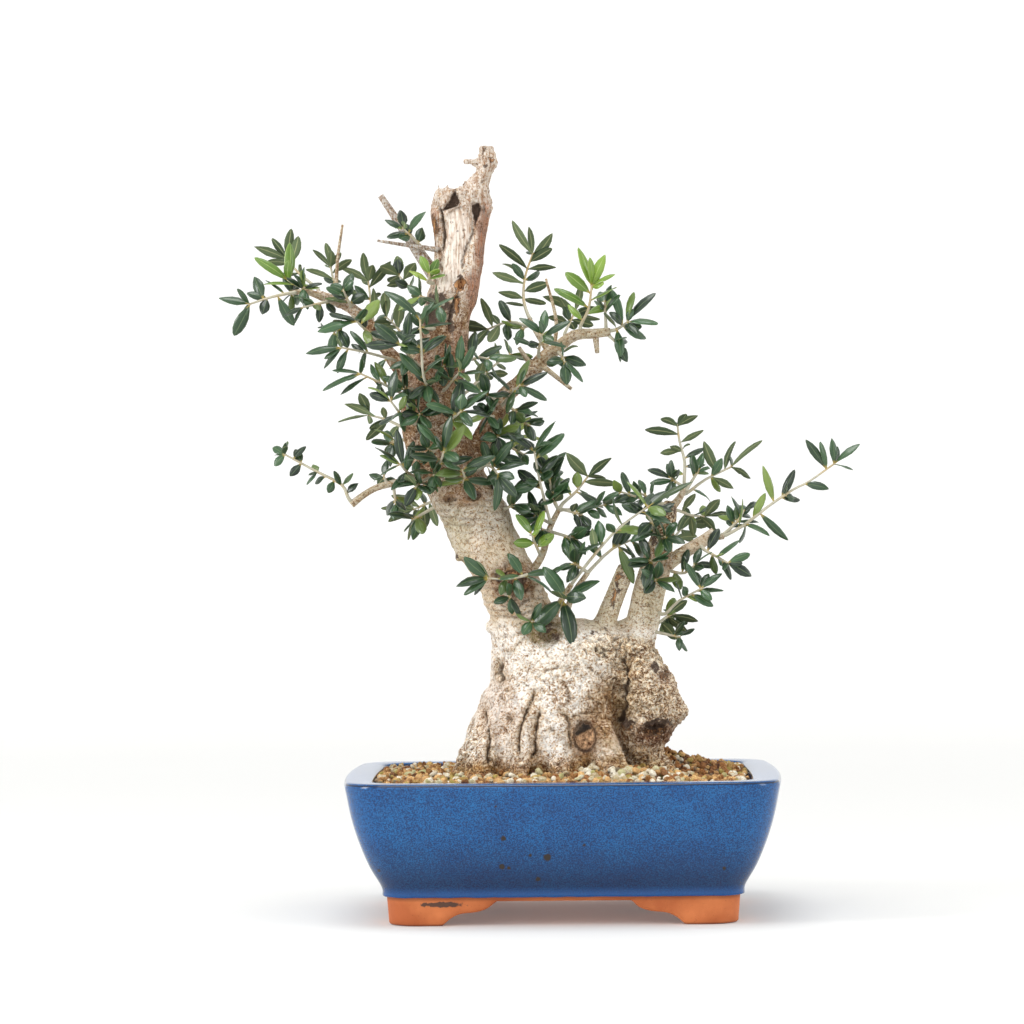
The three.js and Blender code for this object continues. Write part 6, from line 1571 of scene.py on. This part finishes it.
bm = new_foliage()
random = draws(271)
for *end, count, length in INNER_SHOOTS:
    seat, normal, *_ = wood_surface.find_nearest(Vector(on_tree(end)))
    foot = (np.array(seat + normal * 0.5 * MM) - TREE) / MM
    middle = (foot + end) / 2 + np.array(normal) * 2
    shoot = {"twig": [foot, middle, np.array(end, float)], "leaf": [length, 0.42 * length], "bare": 0.35}
    grow(bm, shoot["twig"], list(more_leaves(shoot, count, (0.7, 1.1), random)), random)
piece = new_object("inner_shoots", bm, *LEAF_SKINS["leaf"])
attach(piece, "root")
bpy.data.meshes.remove(template)

# ---- The floor, the light and the camera ----
# A plain pale floor under soft studio light: soft boxes at both sides, in front and overhead, and a
# white surround. The floor is a round board, in metres, that bends up into a wall far from the pot.

FLOOR = {"flat": 3.6, "bend": 1.6, "steepest": radians(80), "wall": (5.4, 2.6)}
TREE_MIDDLE = Vector((0, 0, 0.2))

bm = bmesh.new()
edge = [(0, 0), (FLOOR["flat"], 0)]
for turn in np.linspace(0, FLOOR["steepest"], 12)[1:]:
    edge.append((FLOOR["flat"] + FLOOR["bend"] * sin(turn), FLOOR["bend"] - FLOOR["bend"] * cos(turn)))
edge.append(FLOOR["wall"])
verts = [bmesh.ops.create_vert(bm, co=(r, 0, z))["vert"][0] for r, z in edge]
for pair in zip(verts, verts[1:]):
    bm.edges.new(pair)
bmesh.ops.spin(bm, geom=bm.verts[:] + bm.edges[:], cent=(0, 0, 0), axis=(0, 0, 1), angle=2 * pi, steps=64,
               use_merge=True, use_duplicate=False)
bmesh.ops.remove_doubles(bm, verts=bm.verts, dist=0.0001)
bmesh.ops.recalc_face_normals(bm, faces=bm.faces)
made, tree, place = new_material("white_sweep")
away = add(tree, "VectorMath", {0: place}, operation="LENGTH")
glow = add(tree, "MapRange", {0: away, 1: 0.3, 2: 3.2, 3: 0.12, 4: 0.42},
           interpolation_type="SMOOTHSTEP")
shader = add(tree, "BsdfPrincipled", {"Base Color": "#dcdcda", "Roughness": 0.9,
                                      "Emission Color": "#ffffff", "Emission Strength": glow})
add(tree, "OutputMaterial", {0: shader})
floor_board = new_object("floor_board", bm, made)


def soft_box(name, place, size, power):
    """A white rectangular light that faces the tree."""
    light = bpy.data.lights.new(name, "AREA")
    light.shape = "RECTANGLE"
    light.size, light.size_y = size
    light.energy = power
    made = bpy.data.objects.new(name, light)
    made.location = place
    made.rotation_mode = "QUATERNION"
    made.rotation_quaternion = (Vector(place) - TREE_MIDDLE).to_track_quat("Z", "Y")
    bpy.context.scene.collection.objects.link(made)


soft_box("left_soft_box", (-1.5, -0.7, 0.9), (0.5, 0.8), 12)
soft_box("right_soft_box", (1.6, -0.5, 0.8), (0.5, 0.9), 6)
soft_box("overhead_soft_box", (-0.1, -0.3, 1.9), (0.9, 0.9), 13)
soft_box("front_soft_box", (-0.7, -2.6, 1.6), (1.2, 1.2), 7)

world = bpy.data.worlds.new("studio")
bpy.context.scene.world = world
world.use_nodes = True
tree = world.node_tree
tree.nodes.clear()
seen = add(tree, "Background", {0: "#ffffff", 1: 0.97})
height = add(tree, "SeparateXYZ", {0: add(tree, "TexCoord").outputs["Generated"]}).outputs[2]
glow = add(tree, "MapRange", {0: height, 1: -0.2, 2: 0.8, 3: 0.45, 4: 0.8})
lit = add(tree, "Background", {0: "#ffffff", 1: glow})
direct = add(tree, "LightPath").outputs["Is Camera Ray"]
both = add(tree, "MixShader", {0: direct, 1: lit, 2: seen})
add(tree, "OutputWorld", {0: both})
bpy.context.scene.view_settings.view_transform = "Standard"

PICTURE = 1024  # pixels across
FOCAL = 3900  # in those pixels
LEFT, DOWN, ROLL = radians(1.03), radians(0.18), radians(0.55)
view = bpy.data.cameras.new("camera")
view.sensor_width = 36
view.lens = FOCAL * view.sensor_width / PICTURE
camera = bpy.data.objects.new("camera", view)
turn = Matrix.Rotation(LEFT, 4, "Z") @ Matrix.Rotation(pi / 2 - DOWN, 4, "X")
camera.matrix_world = Matrix.Translation(on_tree(EYE)) @ turn @ Matrix.Rotation(-ROLL, 4, "Z")
bpy.context.scene.collection.objects.link(camera)
bpy.context.scene.camera = camera
